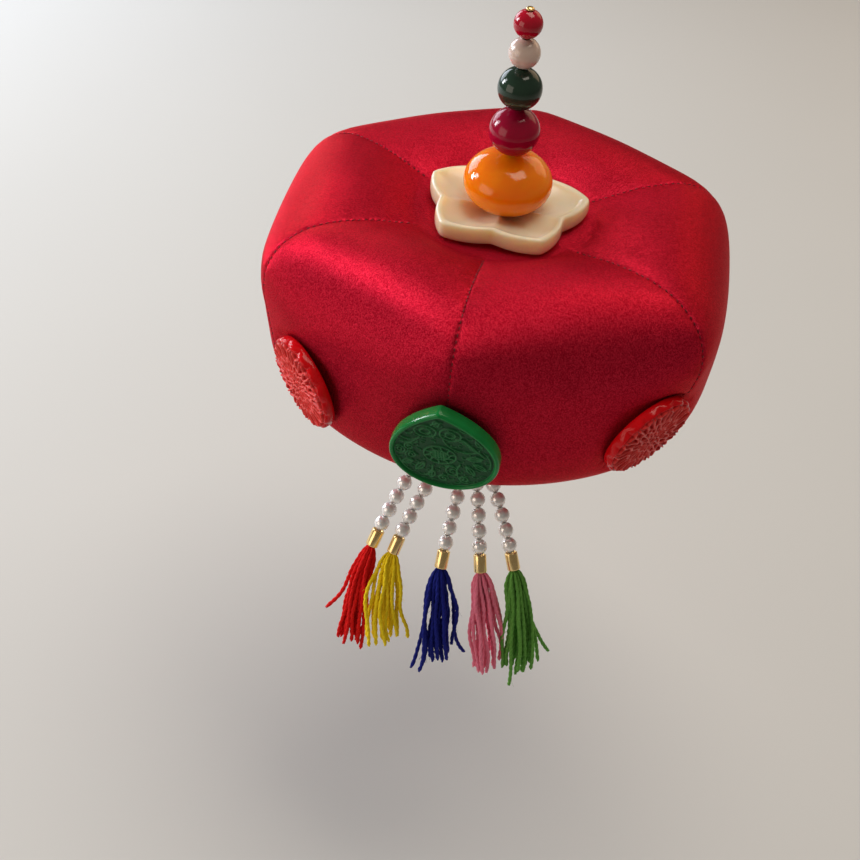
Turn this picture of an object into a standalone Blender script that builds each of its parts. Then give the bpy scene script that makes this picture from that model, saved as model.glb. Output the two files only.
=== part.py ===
"""Jokduri: a padded ceremonial coronet of six silk gores, with a bead finial on a
flower plate, three carved medallions, and five strings of pearls that end in tassels.

Metres, +Z up. The origin is the middle of the head opening, in the plane of its lip.
The front is -Y. Left and right are as seen from the front, so right is +X.
Azimuths are degrees from the front, growing towards the right.
"""

import math
from collections import namedtuple

import bmesh
import bpy
from mathutils import Matrix, Vector

# Fit between pieces
GAP = 0.0003

# Crown
CROWN_RADIUS = 0.075
CROWN_HEIGHT = 0.069
SEAT_DEPTH = 0.0054
GORE_LIFT = 0.0019
MOUTH_RADIUS = 0.045
LIP_WALL = 0.0022
HOLLOW_DEPTH = 0.038
GORE_STEPS = 7

# Flower plate under the finial
FLOWER_RADIUS = 0.0257
FLOWER_THICKNESS = 0.0055
FLOWER_FLOOR = 0.0016
FLOWER_TURN = 33.5
PETALS = 5
PETAL_RIB = 0.0009
SEAT_MARGIN = 0.0011

# Finial. BEAD_FLATNESS is a round bead's height as a share of its diameter.
AMBER_RADIUS = 0.0132
AMBER_HALF_HEIGHT = 0.0092
DARK_RED_RADIUS = 0.0074
GREEN_RADIUS = 0.0064
FINIAL_PEARL_RADIUS = 0.0045
SMALL_RED_RADIUS = 0.0041
BEAD_FLATNESS = 0.96
BEAD_BORE = 0.0021
FINIAL_OFFSET = Vector((0.0008, -0.0003, 0.0))
FINIAL_LEAN_FORWARD = 2.4
FINIAL_LEAN_RIGHT = 0.7
PIN_DIAMETER = 0.0014
PIN_HEAD_DIAMETER = 0.0032
PIN_HEAD_HEIGHT = 0.0015
FINIAL_SIDES = 14

# Medallions. MEDALLION_LEVEL is a share of CROWN_HEIGHT.
# The padding is flat for PRESS_MARGIN round each one, then slopes up over PRESS_WIDTH.
MEDALLION_LEVEL = 0.396
PRESS_MARGIN = 0.0055
PRESS_WIDTH = 0.010
PRESS_SLOPE = 0.35
FRONT_HALF_WIDTH = 0.0158
FRONT_TIP = 0.0188
FRONT_FOOT = 0.0142
FRONT_THICKNESS = 0.0042
DISC_RADIUS = 0.0148
DISC_THICKNESS = 0.0034
DISC_LOBES = 12
LOBE_DEPTH = 0.0007
RIM_WIDTH = 0.0022
FACE_DEPTH = 0.0009
OUTLINE_STEPS = 34
LEFT_SINK = 0.0004
RIGHT_SINK = 0.0020

# Carved rosette of a medallion: a ring of petals round a heart
CARVED_RING_RADIUS = 0.0081
PETAL_HALF_LENGTH = 0.0026
PETAL_HALF_WIDTH = 0.0018
HEART_RADIUS = 0.0036
CARVED_HEIGHT = 0.0008

# Strings. STRING_OUT is how far out they are sewn on, as a share of the way from the lip
# to the front seam. STRING_LEAN is in degrees from the vertical at the first pearl, and
# lessens as over a brow of BROW_RADIUS. A string's heading turns over STRING_TURN.
PEARL_DIAMETER = 0.0042
PEARL_BORE = 0.0015
PEARL_PITCH = 0.00475
PEARL_SIDES = 10
PEARLS_PER_STRING = 5
THREAD_DIAMETER = 0.0008
THREAD_STUB = 0.0009
STRING_OUT = 0.219
STRING_LEAN = 43.9
BROW_RADIUS = 0.100
STRING_TURN = 0.040
TUBE_DIAMETER = 0.0039
TUBE_BORE = 0.0027
TUBE_LENGTH = 0.0055
TUBE_SIDES = 10
PATH_STEP = 0.002
THREAD_POINTS = 5

# Tassels. LOCK_TIP is a share of LOCK_RADIUS, TASSEL_FLATNESS of a tassel's spread.
# SWELL under 1 widens a tassel near its head. LOCK_WAVE is how far a lock snakes.
TASSEL_HEAD_DIAMETER = 0.0052
TASSEL_HEAD_LENGTH = 0.0050
TASSEL_LENGTH = 0.0360
TASSEL_SPREAD = 0.0036
LOCKS = 8
LOCK_RADIUS = 0.0017
LOCK_TIP = 0.65
LOCK_SECTIONS = 4
LOCK_SIDES = 5
LOCK_WAVE = 0.0006
SWELL = 0.7
TASSEL_FLATNESS = 0.45

# Seams: azimuth of each one, and its reach as a share of CROWN_RADIUS
Seam = namedtuple("Seam", "azimuth reach")
SEAMS = [
    Seam(-1.0, 0.966),
    Seam(56.6, 1.039),
    Seam(118.4, 1.011),
    Seam(180.7, 1.015),
    Seam(243.3, 0.988),
    Seam(302.0, 0.984),
]

# Sections of the crown's outer skin.
# out: share of the way from the seat's edge to the seam's reach in the top rows,
#      and from the lip to the seam's reach in the side rows
# up: share of CROWN_HEIGHT
# flat: how far the gore's middle keeps to the straight side of the hexagon
# lift: how far the gore's middle rises over its seams, share of GORE_LIFT
Row = namedtuple("Row", "out up flat lift")
TOP_ROWS = [
    Row(0.05, 0.957, 0.40, 0.20),
    Row(0.16, 0.982, 0.80, 0.45),
    Row(0.38, 1.0, 1.0, 0.65),
    Row(0.55, 0.991, 0.97, 0.85),
    Row(0.697, 0.971, 0.92, 1.0),
    Row(0.822, 0.933, 0.87, 1.0),
    Row(0.923, 0.878, 0.80, 0.90),
    Row(0.985, 0.804, 0.70, 0.65),
    Row(1.0, 0.71, 0.57, 0.30),
]
SIDE_ROWS = [
    Row(0.968, 0.616, 0.46, 0.0),
    Row(0.906, 0.464, 0.33, 0.0),
    Row(0.835, 0.317, 0.23, 0.0),
    Row(0.712, 0.20, 0.15, 0.0),
    Row(0.55, 0.128, 0.12, 0.0),
    Row(0.375, 0.088, 0.10, 0.0),
    Row(0.219, 0.066, 0.07, 0.0),
    Row(0.112, 0.041, 0.06, 0.0),
    Row(0.05, 0.013, 0.02, 0.0),
]

# Hollow for the head. out: share of MOUTH_RADIUS, up: share of HOLLOW_DEPTH
HollowRow = namedtuple("HollowRow", "out up")
HOLLOW_ROWS = [
    HollowRow(1.0, 0.03),
    HollowRow(0.995, 0.16),
    HollowRow(0.965, 0.48),
    HollowRow(0.90, 0.76),
    HollowRow(0.74, 0.91),
    HollowRow(0.45, 0.985),
]

# Finial beads, from the flower plate up. One with no half_height is round.
Bead = namedtuple("Bead", "name radius half_height colour roughness")
FINIAL_BEADS = [
    Bead("finial_amber", AMBER_RADIUS, AMBER_HALF_HEIGHT, (0.87, 0.27, 0.01), 0.15),
    Bead("finial_dark_red", DARK_RED_RADIUS, None, (0.26, 0.004, 0.025), 0.12),
    Bead("finial_green", GREEN_RADIUS, None, (0.012, 0.055, 0.028), 0.12),
    Bead("finial_pearl", FINIAL_PEARL_RADIUS, None, (0.80, 0.74, 0.68), 0.25),
    Bead("finial_small_red", SMALL_RED_RADIUS, None, (0.34, 0.006, 0.02), 0.12),
]

# Medallions: azimuth of the seat, azimuth that the face looks to, how far it looks down,
# roll in its plane, and how far its back is pressed into the padding
Medallion = namedtuple("Medallion", "name azimuth facing lean roll sink")
FRONT_MEDALLION = Medallion("medallion_front", -0.6, -2.1, 13.0, 6.0, 0.0)
SIDE_MEDALLIONS = [
    Medallion("medallion_left", -42.1, -46.0, 12.6, 0.0, LEFT_SINK),
    Medallion("medallion_right", 48.8, 49.8, 17.0, 0.0, RIGHT_SINK),
]

# Strings, from left to right. azimuth: where the string is sewn under the lip,
# heading: the way the pearls slant, fall: the way the tassel slants,
# length: share of TASSEL_LENGTH. As shares of TASSEL_SPREAD, spread: the half width of
# its locks' middles, stray_left and stray_right: how far its side locks curl beyond that
String = namedtuple(
    "String", "name azimuth heading fall length spread stray_left stray_right colour"
)
STRINGS = [
    String("red", -13.6, -33.2, -10.0, 1.0, 0.78, 1.1, 0.0, (0.50, 0.008, 0.012)),
    String("yellow", -6.4, -32.4, 36.0, 0.86, 0.86, 0.0, 0.67, (0.80, 0.52, 0.006)),
    String("blue", 3.0, -6.4, 41.0, 0.93, 1.0, 0.83, 0.94, (0.008, 0.012, 0.13)),
    String("pink", 8.1, 20.6, 53.4, 0.94, 0.94, 0.0, 0.17, (0.58, 0.09, 0.14)),
    String("green", 13.5, 41.6, 34.5, 1.07, 1.17, 0.0, 1.1, (0.10, 0.27, 0.035)),
]

SILK = ("silk", (0.42, 0.003, 0.012), 0.45, 0.0)
PALE_STONE = ("pale_stone", (0.66, 0.52, 0.30), 0.3, 0.0)
GREEN_RESIN = ("green_resin", (0.008, 0.13, 0.035), 0.25, 0.0)
RED_RESIN = ("red_resin", (0.50, 0.03, 0.03), 0.55, 0.0)
PEARL = ("pearl", (0.82, 0.76, 0.72), 0.25, 0.0)
THREAD = ("thread", (0.75, 0.70, 0.62), 0.8, 0.0)
BRASS = ("brass", (0.80, 0.52, 0.18), 0.25, 1.0)

# Sizes that follow from the ones above
SEAT_HEIGHT = CROWN_HEIGHT - SEAT_DEPTH
SEAT_RADIUS = FLOWER_RADIUS + SEAT_MARGIN
LIP_RADIUS = MOUTH_RADIUS + LIP_WALL
FLOWER_BOTTOM = SEAT_HEIGHT + GAP
FINIAL_BASE = FLOWER_BOTTOM + FLOWER_FLOOR + GAP
PIN_FOOT = (SEAT_HEIGHT + HOLLOW_DEPTH) / 2
PIN_DRIFT = math.tan(math.radians(FINIAL_LEAN_FORWARD)) * (FINIAL_BASE - PIN_FOOT)
APEX_HOLE = FINIAL_OFFSET.length + PIN_DIAMETER / 2 + PIN_DRIFT + 2 * GAP


def clear_scene():
    for item in list(bpy.data.objects):
        bpy.data.objects.remove(item, do_unlink=True)


def make_collection(name):
    collection = bpy.data.collections.new(name)
    bpy.context.scene.collection.children.link(collection)
    return collection


def make_material(name, colour, roughness, metallic):
    known = bpy.data.materials.get(name)
    if known:
        return known
    material = bpy.data.materials.new(name)
    material.use_nodes = True
    shader = material.node_tree.nodes["Principled BSDF"]
    shader.inputs["Base Color"].default_value = (*colour, 1.0)
    shader.inputs["Roughness"].default_value = roughness
    shader.inputs["Metallic"].default_value = metallic
    material.diffuse_color = (*colour, 1.0)
    return material


def make_object(name, data, collection, material):
    item = bpy.data.objects.new(name, data)
    data.materials.append(make_material(*material))
    collection.objects.link(item)
    return item


def hide_guide(item):
    item.hide_render = True
    item.display_type = "WIRE"


def mesh_from(name, bm):
    bmesh.ops.recalc_face_normals(bm, faces=bm.faces)
    mesh = bpy.data.meshes.new(name)
    bm.to_mesh(mesh)
    bm.free()
    mesh.shade_smooth()
    mesh.set_sharp_from_angle(angle=math.radians(35))
    return mesh


def heading(azimuth):
    turn = math.radians(azimuth)
    return Vector((math.sin(turn), -math.cos(turn), 0.0))


def loft(name, loops, ring=False):
    """Skin a row of closed loops, capped at both ends or closed into a ring."""
    bm = bmesh.new()
    rows = [[bm.verts.new(point) for point in loop] for loop in loops]
    pairs = list(zip(rows, rows[1:]))
    if ring:
        pairs.append((rows[-1], rows[0]))
    for near, far in pairs:
        count = len(near)
        for i in range(count):
            j = (i + 1) % count
            bm.faces.new((near[i], near[j], far[j], far[i]))
    if not ring:
        bm.faces.new(rows[0])
        bm.faces.new(rows[-1])
    return mesh_from(name, bm)


def turned(name, profile, sides, collection, material):
    """Turn a profile, which runs down its outer side, about local Z.

    A profile that starts off the axis is closed, as round a bore.
    """
    bm = bmesh.new()
    ring = [bm.verts.new((radius, 0.0, height)) for radius, height in profile]
    for near, far in zip(ring, ring[1:]):
        bm.edges.new((near, far))
    if profile[0][0] > 0:
        bm.edges.new((ring[-1], ring[0]))
    mesh = bpy.data.meshes.new(name)
    bm.to_mesh(mesh)
    bm.free()
    item = make_object(name, mesh, collection, material)
    screw = item.modifiers.new("turn", "SCREW")
    screw.steps = sides
    screw.render_steps = sides
    screw.use_merge_vertices = True
    screw.merge_threshold = 0.000001
    screw.use_smooth_shade = True
    return item


def drilled_profile(radius, half_height, bore, arcs):
    """Half an ellipse from the bore's upper rim to its lower rim."""
    start = math.asin(bore / 2 / radius)
    angles = [start + (math.pi - 2 * start) * i / arcs for i in range(arcs + 1)]
    top = half_height / math.cos(start)
    return [(radius * math.sin(a), top * math.cos(a)) for a in angles]


# Crown


def blend(start, end, share):
    return start + (end - start) * share


def gore_span(index):
    """Azimuths of a gore's two seams, the second one the larger."""
    first = SEAMS[index].azimuth
    second = SEAMS[(index + 1) % len(SEAMS)].azimuth
    return first, second + (360.0 if second < first else 0.0)


def gore_point(index, share, radii, flat, height):
    """A point across a gore: share 0 and 1 lie half a gap inside its seam planes."""
    first, second = gore_span(index)
    radius = blend(radii[0], radii[1], share)
    inset = math.degrees(math.asin(GAP / 2 / radius))
    azimuth = blend(first + inset, second - inset, share)
    half = (second - first) / 2
    off_middle = azimuth - (first + second) / 2
    chord = math.cos(math.radians(half)) / math.cos(math.radians(off_middle))
    reach = radius * (1 - flat * (1 - min(chord, 1.0)))
    return heading(azimuth) * reach + Vector((0.0, 0.0, height))


def skin_point(index, share, row, inner_edge):
    reaches = (SEAMS[index].reach, SEAMS[(index + 1) % len(SEAMS)].reach)
    radii = [blend(inner_edge, CROWN_RADIUS * reach, row.out) for reach in reaches]
    height = row.up * CROWN_HEIGHT + row.lift * GORE_LIFT * 4 * share * (1 - share)
    return gore_point(index, share, radii, row.flat, height)


def outer_line(index, share):
    """The outer skin from the pin's hole to the lip, at one place across a gore."""
    line = [
        gore_point(index, share, (APEX_HOLE, APEX_HOLE), 0.0, SEAT_HEIGHT),
        gore_point(index, share, (SEAT_RADIUS, SEAT_RADIUS), 0.0, SEAT_HEIGHT),
    ]
    line += [skin_point(index, share, row, SEAT_RADIUS) for row in TOP_ROWS]
    line += [skin_point(index, share, row, LIP_RADIUS) for row in SIDE_ROWS]
    line.append(gore_point(index, share, (LIP_RADIUS, LIP_RADIUS), 0.0, 0.0))
    return line


def hollow_line(index, share):
    """The hollow's wall from the mouth up to the pin's hole."""
    line = []
    for row in HOLLOW_ROWS:
        radius = row.out * MOUTH_RADIUS
        line.append(gore_point(index, share, (radius, radius), 0.0, row.up * HOLLOW_DEPTH))
    line.append(gore_point(index, share, (APEX_HOLE, APEX_HOLE), 0.0, HOLLOW_DEPTH))
    return line


def skin_at(azimuth, height):
    """The point of the crown's side at an azimuth and height."""
    for index in range(len(SEAMS)):
        first, second = gore_span(index)
        turn = (azimuth - first) % 360.0
        if turn <= second - first:
            break
    line = outer_line(index, turn / (second - first))
    for upper, lower in zip(line, line[1:]):
        if upper.z >= height >= lower.z and upper.z > lower.z:
            break
    return upper.lerp(lower, (upper.z - height) / (upper.z - lower.z))


def plate_frame(medallion):
    """Where a medallion's back lies: x to the right, y up, z out of the crown."""
    point = skin_at(medallion.azimuth, MEDALLION_LEVEL * CROWN_HEIGHT)
    tilt = math.radians(medallion.lean)
    outward = heading(medallion.facing) * math.cos(tilt) - Vector((0, 0, math.sin(tilt)))
    right = heading(medallion.facing + 90.0)
    basis = Matrix((right, outward.cross(right), outward)).transposed().to_4x4()
    spin = Matrix.Rotation(math.radians(medallion.roll), 4, "Z")
    return Matrix.Translation(point - outward * medallion.sink) @ basis @ spin


def press_flat(point, frames):
    """Keep the padding behind each medallion's back, with a slope round its edge."""
    for frame, reach in frames:
        local = frame.inverted() @ point
        beyond = max(math.hypot(local.x, local.y) - reach, 0.0)
        if beyond < PRESS_WIDTH and -reach < local.z:
            local.z = min(local.z, beyond * PRESS_SLOPE - GAP)
            point = frame @ local
    return point


def make_gores(collection, frames):
    for index in range(len(SEAMS)):
        loops = []
        for step in range(GORE_STEPS + 1):
            share = step / GORE_STEPS
            outer = [press_flat(point, frames) for point in outer_line(index, share)]
            loops.append(outer + hollow_line(index, share))
        name = f"crown_gore_{index + 1}"
        make_object(name, loft(name, loops), collection, SILK)


# Flower plate


def petal_outline(radius, steps):
    """One closed outline of pointed petals with bulging sides, as flat points."""
    notch_radius = radius * 0.775
    bulge = radius * 0.07
    half_turn = math.pi / PETALS
    points = []
    for petal in range(PETALS):
        turn = 2 * half_turn * petal
        tip = Vector((radius, 0.0))
        for side in (-1, 1):
            notch = Vector((math.cos(half_turn), side * math.sin(half_turn))) * notch_radius
            along = tip - notch
            out = Vector((along.y, -along.x)).normalized() * -side
            for step in range(steps):
                share = step / steps if side < 0 else 1 - step / steps
                point = notch + along * share + out * bulge * 4 * share * (1 - share)
                points.append(Matrix.Rotation(turn, 2) @ point)
    return points


def make_flower(collection):
    """A dished plate: each ring is the petal outline at a share of its size."""
    rim = FLOWER_THICKNESS
    floor = FLOWER_FLOOR
    rings = [
        (0.955, 0.0, 0.0),
        (1.0, rim * 0.3, 0.0),
        (1.0, rim * 0.85, 0.0),
        (0.965, rim, 0.0),
        (0.90, rim * 0.94, 0.0),
        (0.62, blend(floor, rim, 0.40), 1.0),
        (0.34, blend(floor, rim, 0.08), 0.5),
    ]
    outline = petal_outline(FLOWER_RADIUS, 3)
    bore = PIN_DIAMETER / 2 + GAP
    loops = []
    for scale, height, rib in rings:
        loop = []
        for point in outline:
            near_notch = 1 - point.length / FLOWER_RADIUS
            rise = height + rib * PETAL_RIB * near_notch / 0.225
            loop.append(Vector((point.x * scale, point.y * scale, rise)))
        loops.append(loop)
    for height in (floor, 0.0):
        loops.append([Vector((*(point.normalized() * bore), height)) for point in outline])
    flower = make_object("flower_plate", loft("flower_plate", loops, True), collection, PALE_STONE)
    flower.location = FINIAL_OFFSET + Vector((0.0, 0.0, FLOWER_BOTTOM))
    flower.rotation_euler = (0.0, 0.0, math.radians(FLOWER_TURN - 90.0))


# Finial


def make_finial(collection):
    stem = bpy.data.objects.new("finial_axis", None)
    collection.objects.link(stem)
    stem.location = FINIAL_OFFSET + Vector((0.0, 0.0, FINIAL_BASE))
    lean = (math.radians(FINIAL_LEAN_FORWARD), math.radians(FINIAL_LEAN_RIGHT), 0.0)
    stem.rotation_euler = lean
    height = 0.0
    for bead in FINIAL_BEADS:
        half_height = bead.half_height or bead.radius * BEAD_FLATNESS
        height += half_height
        profile = drilled_profile(bead.radius, half_height, BEAD_BORE, 6)
        finish = (bead.name, bead.colour, bead.roughness, 0.0)
        item = turned(bead.name, profile, FINIAL_SIDES, collection, finish)
        item.parent = stem
        item.location = (0.0, 0.0, height)
        height += half_height + GAP
    make_pin(collection, stem, height)


def make_pin(collection, stem, top):
    """The pin from inside the wadding to its small head on the top bead."""
    foot = PIN_FOOT - FINIAL_BASE
    shaft = PIN_DIAMETER / 2
    crown = PIN_HEAD_DIAMETER / 2
    profile = [
        (0.0, top + PIN_HEAD_HEIGHT),
        (crown * 0.7, top + PIN_HEAD_HEIGHT * 0.75),
        (crown, top + PIN_HEAD_HEIGHT * 0.3),
        (crown, top),
        (shaft, top),
        (shaft, foot + shaft),
        (shaft * 0.4, foot),
        (0.0, foot),
    ]
    pin = turned("finial_pin", profile, PEARL_SIDES, collection, BRASS)
    pin.parent = stem


# Medallions


def drop_outline(radius, tip, foot, steps):
    """A round plaque drawn up to a point."""
    points = []
    for step in range(steps):
        angle = 2 * math.pi * step / steps
        side = abs(math.sin(angle))
        high = math.cos(angle) * foot
        if high > 0:
            high += (tip - foot) * (1 - side) ** 1.5
        points.append(Vector((math.sin(angle) * radius, high)))
    return points


def lobed_outline(radius, lobes, steps):
    points = []
    for step in range(steps):
        angle = 2 * math.pi * step / steps
        wave = abs(math.cos(angle * lobes / 2))
        reach = radius - LOBE_DEPTH * (1 - wave)
        points.append(Vector((math.sin(angle), math.cos(angle))) * reach)
    return points


def plaque_mesh(name, outline, thickness, inner):
    """A plaque with a softened rim round a sunk face."""
    rings = [
        (0.985, 0.0),
        (1.0, thickness * 0.2),
        (1.0, thickness * 0.82),
        (blend(1.0, inner, 0.35), thickness),
        (blend(1.0, inner, 0.75), thickness),
        (inner, thickness - FACE_DEPTH),
    ]
    loops = []
    for scale, height in rings:
        loops.append([Vector((*(point * scale), height)) for point in outline])
    return loft(name, loops)


def carved_domes(count, out, low, size):
    """Low domes that stand on the sunk face, in a ring at a distance from its middle."""
    shapes = []
    for step in range(count):
        bm = bmesh.new()
        bmesh.ops.create_uvsphere(bm, u_segments=6, v_segments=4, radius=1.0)
        spin = Matrix.Rotation(2 * math.pi * step / count, 4, "Z")
        place = spin @ Matrix.Translation((0.0, out, low)) @ Matrix.Diagonal((*size, 1.0))
        bmesh.ops.transform(bm, matrix=place, verts=bm.verts)
        shapes.append(bm)
    return shapes


def add_relief(item, shapes, frame, cutters):
    """Join raised shapes to a plaque with one union each."""
    for number, bm in enumerate(shapes):
        mesh = bpy.data.meshes.new(f"{item.name}_relief_{number}")
        bm.to_mesh(mesh)
        bm.free()
        relief = bpy.data.objects.new(mesh.name, mesh)
        cutters.objects.link(relief)
        relief.matrix_world = frame
        hide_guide(relief)
        union = item.modifiers.new(relief.name, "BOOLEAN")
        union.operation = "UNION"
        union.solver = "EXACT"
        union.object = relief


def make_medallion(medallion, outline, radius, thickness, finish, petals, groups):
    collection, cutters = groups
    inner = 1 - RIM_WIDTH / radius
    mesh = plaque_mesh(medallion.name, outline, thickness, inner)
    item = make_object(medallion.name, mesh, collection, finish)
    frame = plate_frame(medallion)
    item.matrix_world = frame
    low = thickness - FACE_DEPTH
    petal = (PETAL_HALF_WIDTH, PETAL_HALF_LENGTH, CARVED_HEIGHT)
    heart = (HEART_RADIUS, HEART_RADIUS, CARVED_HEIGHT)
    shapes = carved_domes(petals, CARVED_RING_RADIUS, low, petal)
    shapes += carved_domes(1, 0.0, low, heart)
    add_relief(item, shapes, frame, cutters)


def make_medallions(groups):
    drop = drop_outline(FRONT_HALF_WIDTH, FRONT_TIP, FRONT_FOOT, OUTLINE_STEPS)
    make_medallion(
        FRONT_MEDALLION, drop, FRONT_FOOT, FRONT_THICKNESS, GREEN_RESIN, 8, groups
    )
    lobed = lobed_outline(DISC_RADIUS, DISC_LOBES, OUTLINE_STEPS)
    for medallion in SIDE_MEDALLIONS:
        make_medallion(
            medallion, lobed, DISC_RADIUS, DISC_THICKNESS, RED_RESIN, 7, groups
        )


# Strings


def fall_direction(string, distance):
    """The way a string runs: it leans out at the lip and turns down over a brow."""
    lean = math.radians(STRING_LEAN) - distance / BROW_RADIUS
    turn_start = (PEARLS_PER_STRING - 1) * PEARL_PITCH
    share = min(max((distance - turn_start) / STRING_TURN, 0.0), 1.0)
    way = heading(blend(string.heading, string.fall, share))
    return way * math.sin(lean) - Vector((0.0, 0.0, math.cos(lean)))


def underside_at(radius):
    """Height of the crown's underside at a distance from its axis, at the front seam."""
    edge = CROWN_RADIUS * SEAMS[0].reach
    line = [(blend(LIP_RADIUS, edge, row.out), row.up * CROWN_HEIGHT) for row in SIDE_ROWS]
    line.append((LIP_RADIUS, 0.0))
    for outer, inner in zip(line, line[1:]):
        if outer[0] >= radius >= inner[0]:
            return blend(inner[1], outer[1], (radius - inner[0]) / (outer[0] - inner[0]))
    return 0.0


def string_point(string, distance):
    """A point on a string, measured from its first pearl's centre."""
    radius = blend(LIP_RADIUS, CROWN_RADIUS * SEAMS[0].reach, STRING_OUT)
    top = underside_at(radius) - GAP - THREAD_STUB - PEARL_DIAMETER / 2
    point = heading(string.azimuth) * radius + Vector((0.0, 0.0, top))
    steps = max(1, math.ceil(abs(distance) / PATH_STEP))
    for step in range(steps):
        middle = distance * (step + 0.5) / steps
        point += fall_direction(string, middle) * distance / steps
    return point


def thread_top(string):
    """How far above its first pearl's centre a thread ends, a gap under the crown."""
    rise = PEARL_DIAMETER / 2
    while rise < PEARL_DIAMETER:
        point = string_point(string, -rise)
        if point.z + THREAD_DIAMETER / 2 + GAP > underside_at(point.xy.length):
            break
        rise += GAP / 3
    return -rise


def aim(item, point, direction):
    """Place a turned piece at a point with its axis against the fall."""
    turn = Vector((0.0, 0.0, 1.0)).rotation_difference(-direction)
    item.matrix_world = Matrix.Translation(point) @ turn.to_matrix().to_4x4()


def tube_top():
    last = (PEARLS_PER_STRING - 1) * PEARL_PITCH
    return last + PEARL_DIAMETER / 2 + GAP


def make_pearls(number, string, collection):
    profile = drilled_profile(PEARL_DIAMETER / 2, PEARL_DIAMETER * 0.47, PEARL_BORE, 4)
    for count in range(PEARLS_PER_STRING):
        name = f"pearl_{number}_{count + 1}"
        pearl = turned(name, profile, PEARL_SIDES, collection, PEARL)
        distance = count * PEARL_PITCH
        aim(pearl, string_point(string, distance), fall_direction(string, distance))


def make_thread(number, string, collection):
    """The thread from the underside of the lip into the tube."""
    start = thread_top(string)
    end = tube_top() + TUBE_LENGTH / 2 - GAP
    curve = bpy.data.curves.new(f"thread_{number}", "CURVE")
    curve.dimensions = "3D"
    curve.bevel_depth = THREAD_DIAMETER / 2
    curve.bevel_resolution = 1
    curve.use_fill_caps = True
    spline = curve.splines.new("POLY")
    spline.points.add(THREAD_POINTS - 1)
    for step in range(THREAD_POINTS):
        point = string_point(string, blend(start, end, step / (THREAD_POINTS - 1)))
        spline.points[step].co = (*point, 1.0)
    make_object(curve.name, curve, collection, THREAD)


def make_tube(number, string, collection):
    outer, inner, half = TUBE_DIAMETER / 2, TUBE_BORE / 2, TUBE_LENGTH / 2
    profile = [(inner, half), (outer, half), (outer, -half), (inner, -half)]
    tube = turned(f"tube_{number}", profile, TUBE_SIDES, collection, BRASS)
    middle = tube_top() + half
    aim(tube, string_point(string, middle), fall_direction(string, middle))


# Tassels


def tassel_head(string, collection):
    """The tied head, with a neck that fills the tube's lower half."""
    neck = TUBE_BORE / 2 - GAP
    half = TASSEL_HEAD_DIAMETER / 2
    length = TASSEL_HEAD_LENGTH
    profile = [
        (0.0, TUBE_LENGTH / 2),
        (neck, TUBE_LENGTH / 2),
        (neck, -GAP),
        (TUBE_DIAMETER / 2, -GAP),
        (half, -length * 0.45),
        (half * 0.8, -length),
        (0.0, -length),
    ]
    finish = (f"yarn_{string.name}", string.colour, 0.9, 0.0)
    head = turned(f"tassel_{string.name}", profile, 8, collection, finish)
    foot = tube_top() + TUBE_LENGTH
    aim(head, string_point(string, foot), fall_direction(string, foot - TUBE_LENGTH / 2))
    return head


def lock_offset(string, number, share):
    """How far a lock stands off the tassel's middle line, sideways and outwards.

    Lock 0 is the middle one, and the rest stand round it, the outermost to each side.
    """
    if number == 0:
        return 0.0, 0.0
    angle = 2 * math.pi * (number - 1) / (LOCKS - 1)
    start = TASSEL_HEAD_DIAMETER / 2 - LOCK_RADIUS
    spread = string.spread * TASSEL_SPREAD
    side = math.cos(angle) * blend(start, spread, share ** SWELL)
    depth = math.sin(angle) * blend(start, spread * TASSEL_FLATNESS, share ** SWELL)
    if number == 1:
        side += string.stray_right * TASSEL_SPREAD * share ** 3
    if number == 4:
        side -= string.stray_left * TASSEL_SPREAD * share ** 3
    side += LOCK_WAVE * math.sin(2 * math.pi * share + number * 2) * share
    return side, depth


def lock_loops(string, number):
    """Sections of one lock, from inside the head to its blunt tip."""
    shorter = 0.06 * ((number * 2) % 3)
    begin = TASSEL_HEAD_LENGTH * (0.3 + 0.06 * number)
    finish = string.length * TASSEL_LENGTH * (1 - shorter)
    foot = tube_top() + TUBE_LENGTH
    loops = []
    for section in range(LOCK_SECTIONS):
        share = section / (LOCK_SECTIONS - 1)
        distance = foot + blend(begin, finish, share)
        down = fall_direction(string, distance)
        across = Vector((0.0, 0.0, 1.0)).cross(down).normalized()
        out = down.cross(across)
        side, depth = lock_offset(string, number, share)
        middle = string_point(string, distance) + across * side + out * depth
        radius = LOCK_RADIUS * blend(0.85, 1.0, min(share * 2, 1.0))
        if section == LOCK_SECTIONS - 1:
            radius *= LOCK_TIP
        loop = []
        for corner in range(LOCK_SIDES):
            angle = 2 * math.pi * corner / LOCK_SIDES
            loop.append(middle + (across * math.cos(angle) + out * math.sin(angle)) * radius)
        loops.append(loop)
    return loops


def make_tassel(string, groups):
    """Fuse the locks to the head in one union."""
    collection, joined = groups
    head = tassel_head(string, collection)
    locks = bpy.data.collections.new(f"locks_{string.name}")
    joined.children.link(locks)
    for number in range(LOCKS):
        name = f"tassel_{string.name}_lock_{number + 1}"
        lock = bpy.data.objects.new(name, loft(name, lock_loops(string, number)))
        locks.objects.link(lock)
        hide_guide(lock)
    union = head.modifiers.new("fuse_locks", "BOOLEAN")
    union.operation = "UNION"
    union.solver = "EXACT"
    union.operand_type = "COLLECTION"
    union.collection = locks


def make_strings(groups):
    collection = groups[0]
    for number, string in enumerate(STRINGS, start=1):
        make_thread(number, string, collection)
        make_pearls(number, string, collection)
        make_tube(number, string, collection)
        make_tassel(string, groups)


def build():
    clear_scene()
    groups = (make_collection("jokduri"), make_collection("shapes_to_join"))
    frames = [(plate_frame(FRONT_MEDALLION), FRONT_HALF_WIDTH + PRESS_MARGIN)]
    frames += [(plate_frame(item), DISC_RADIUS + PRESS_MARGIN) for item in SIDE_MEDALLIONS]
    make_gores(groups[0], frames)
    make_flower(groups[0])
    make_finial(groups[0])
    make_medallions(groups)
    make_strings(groups)


build()
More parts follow.
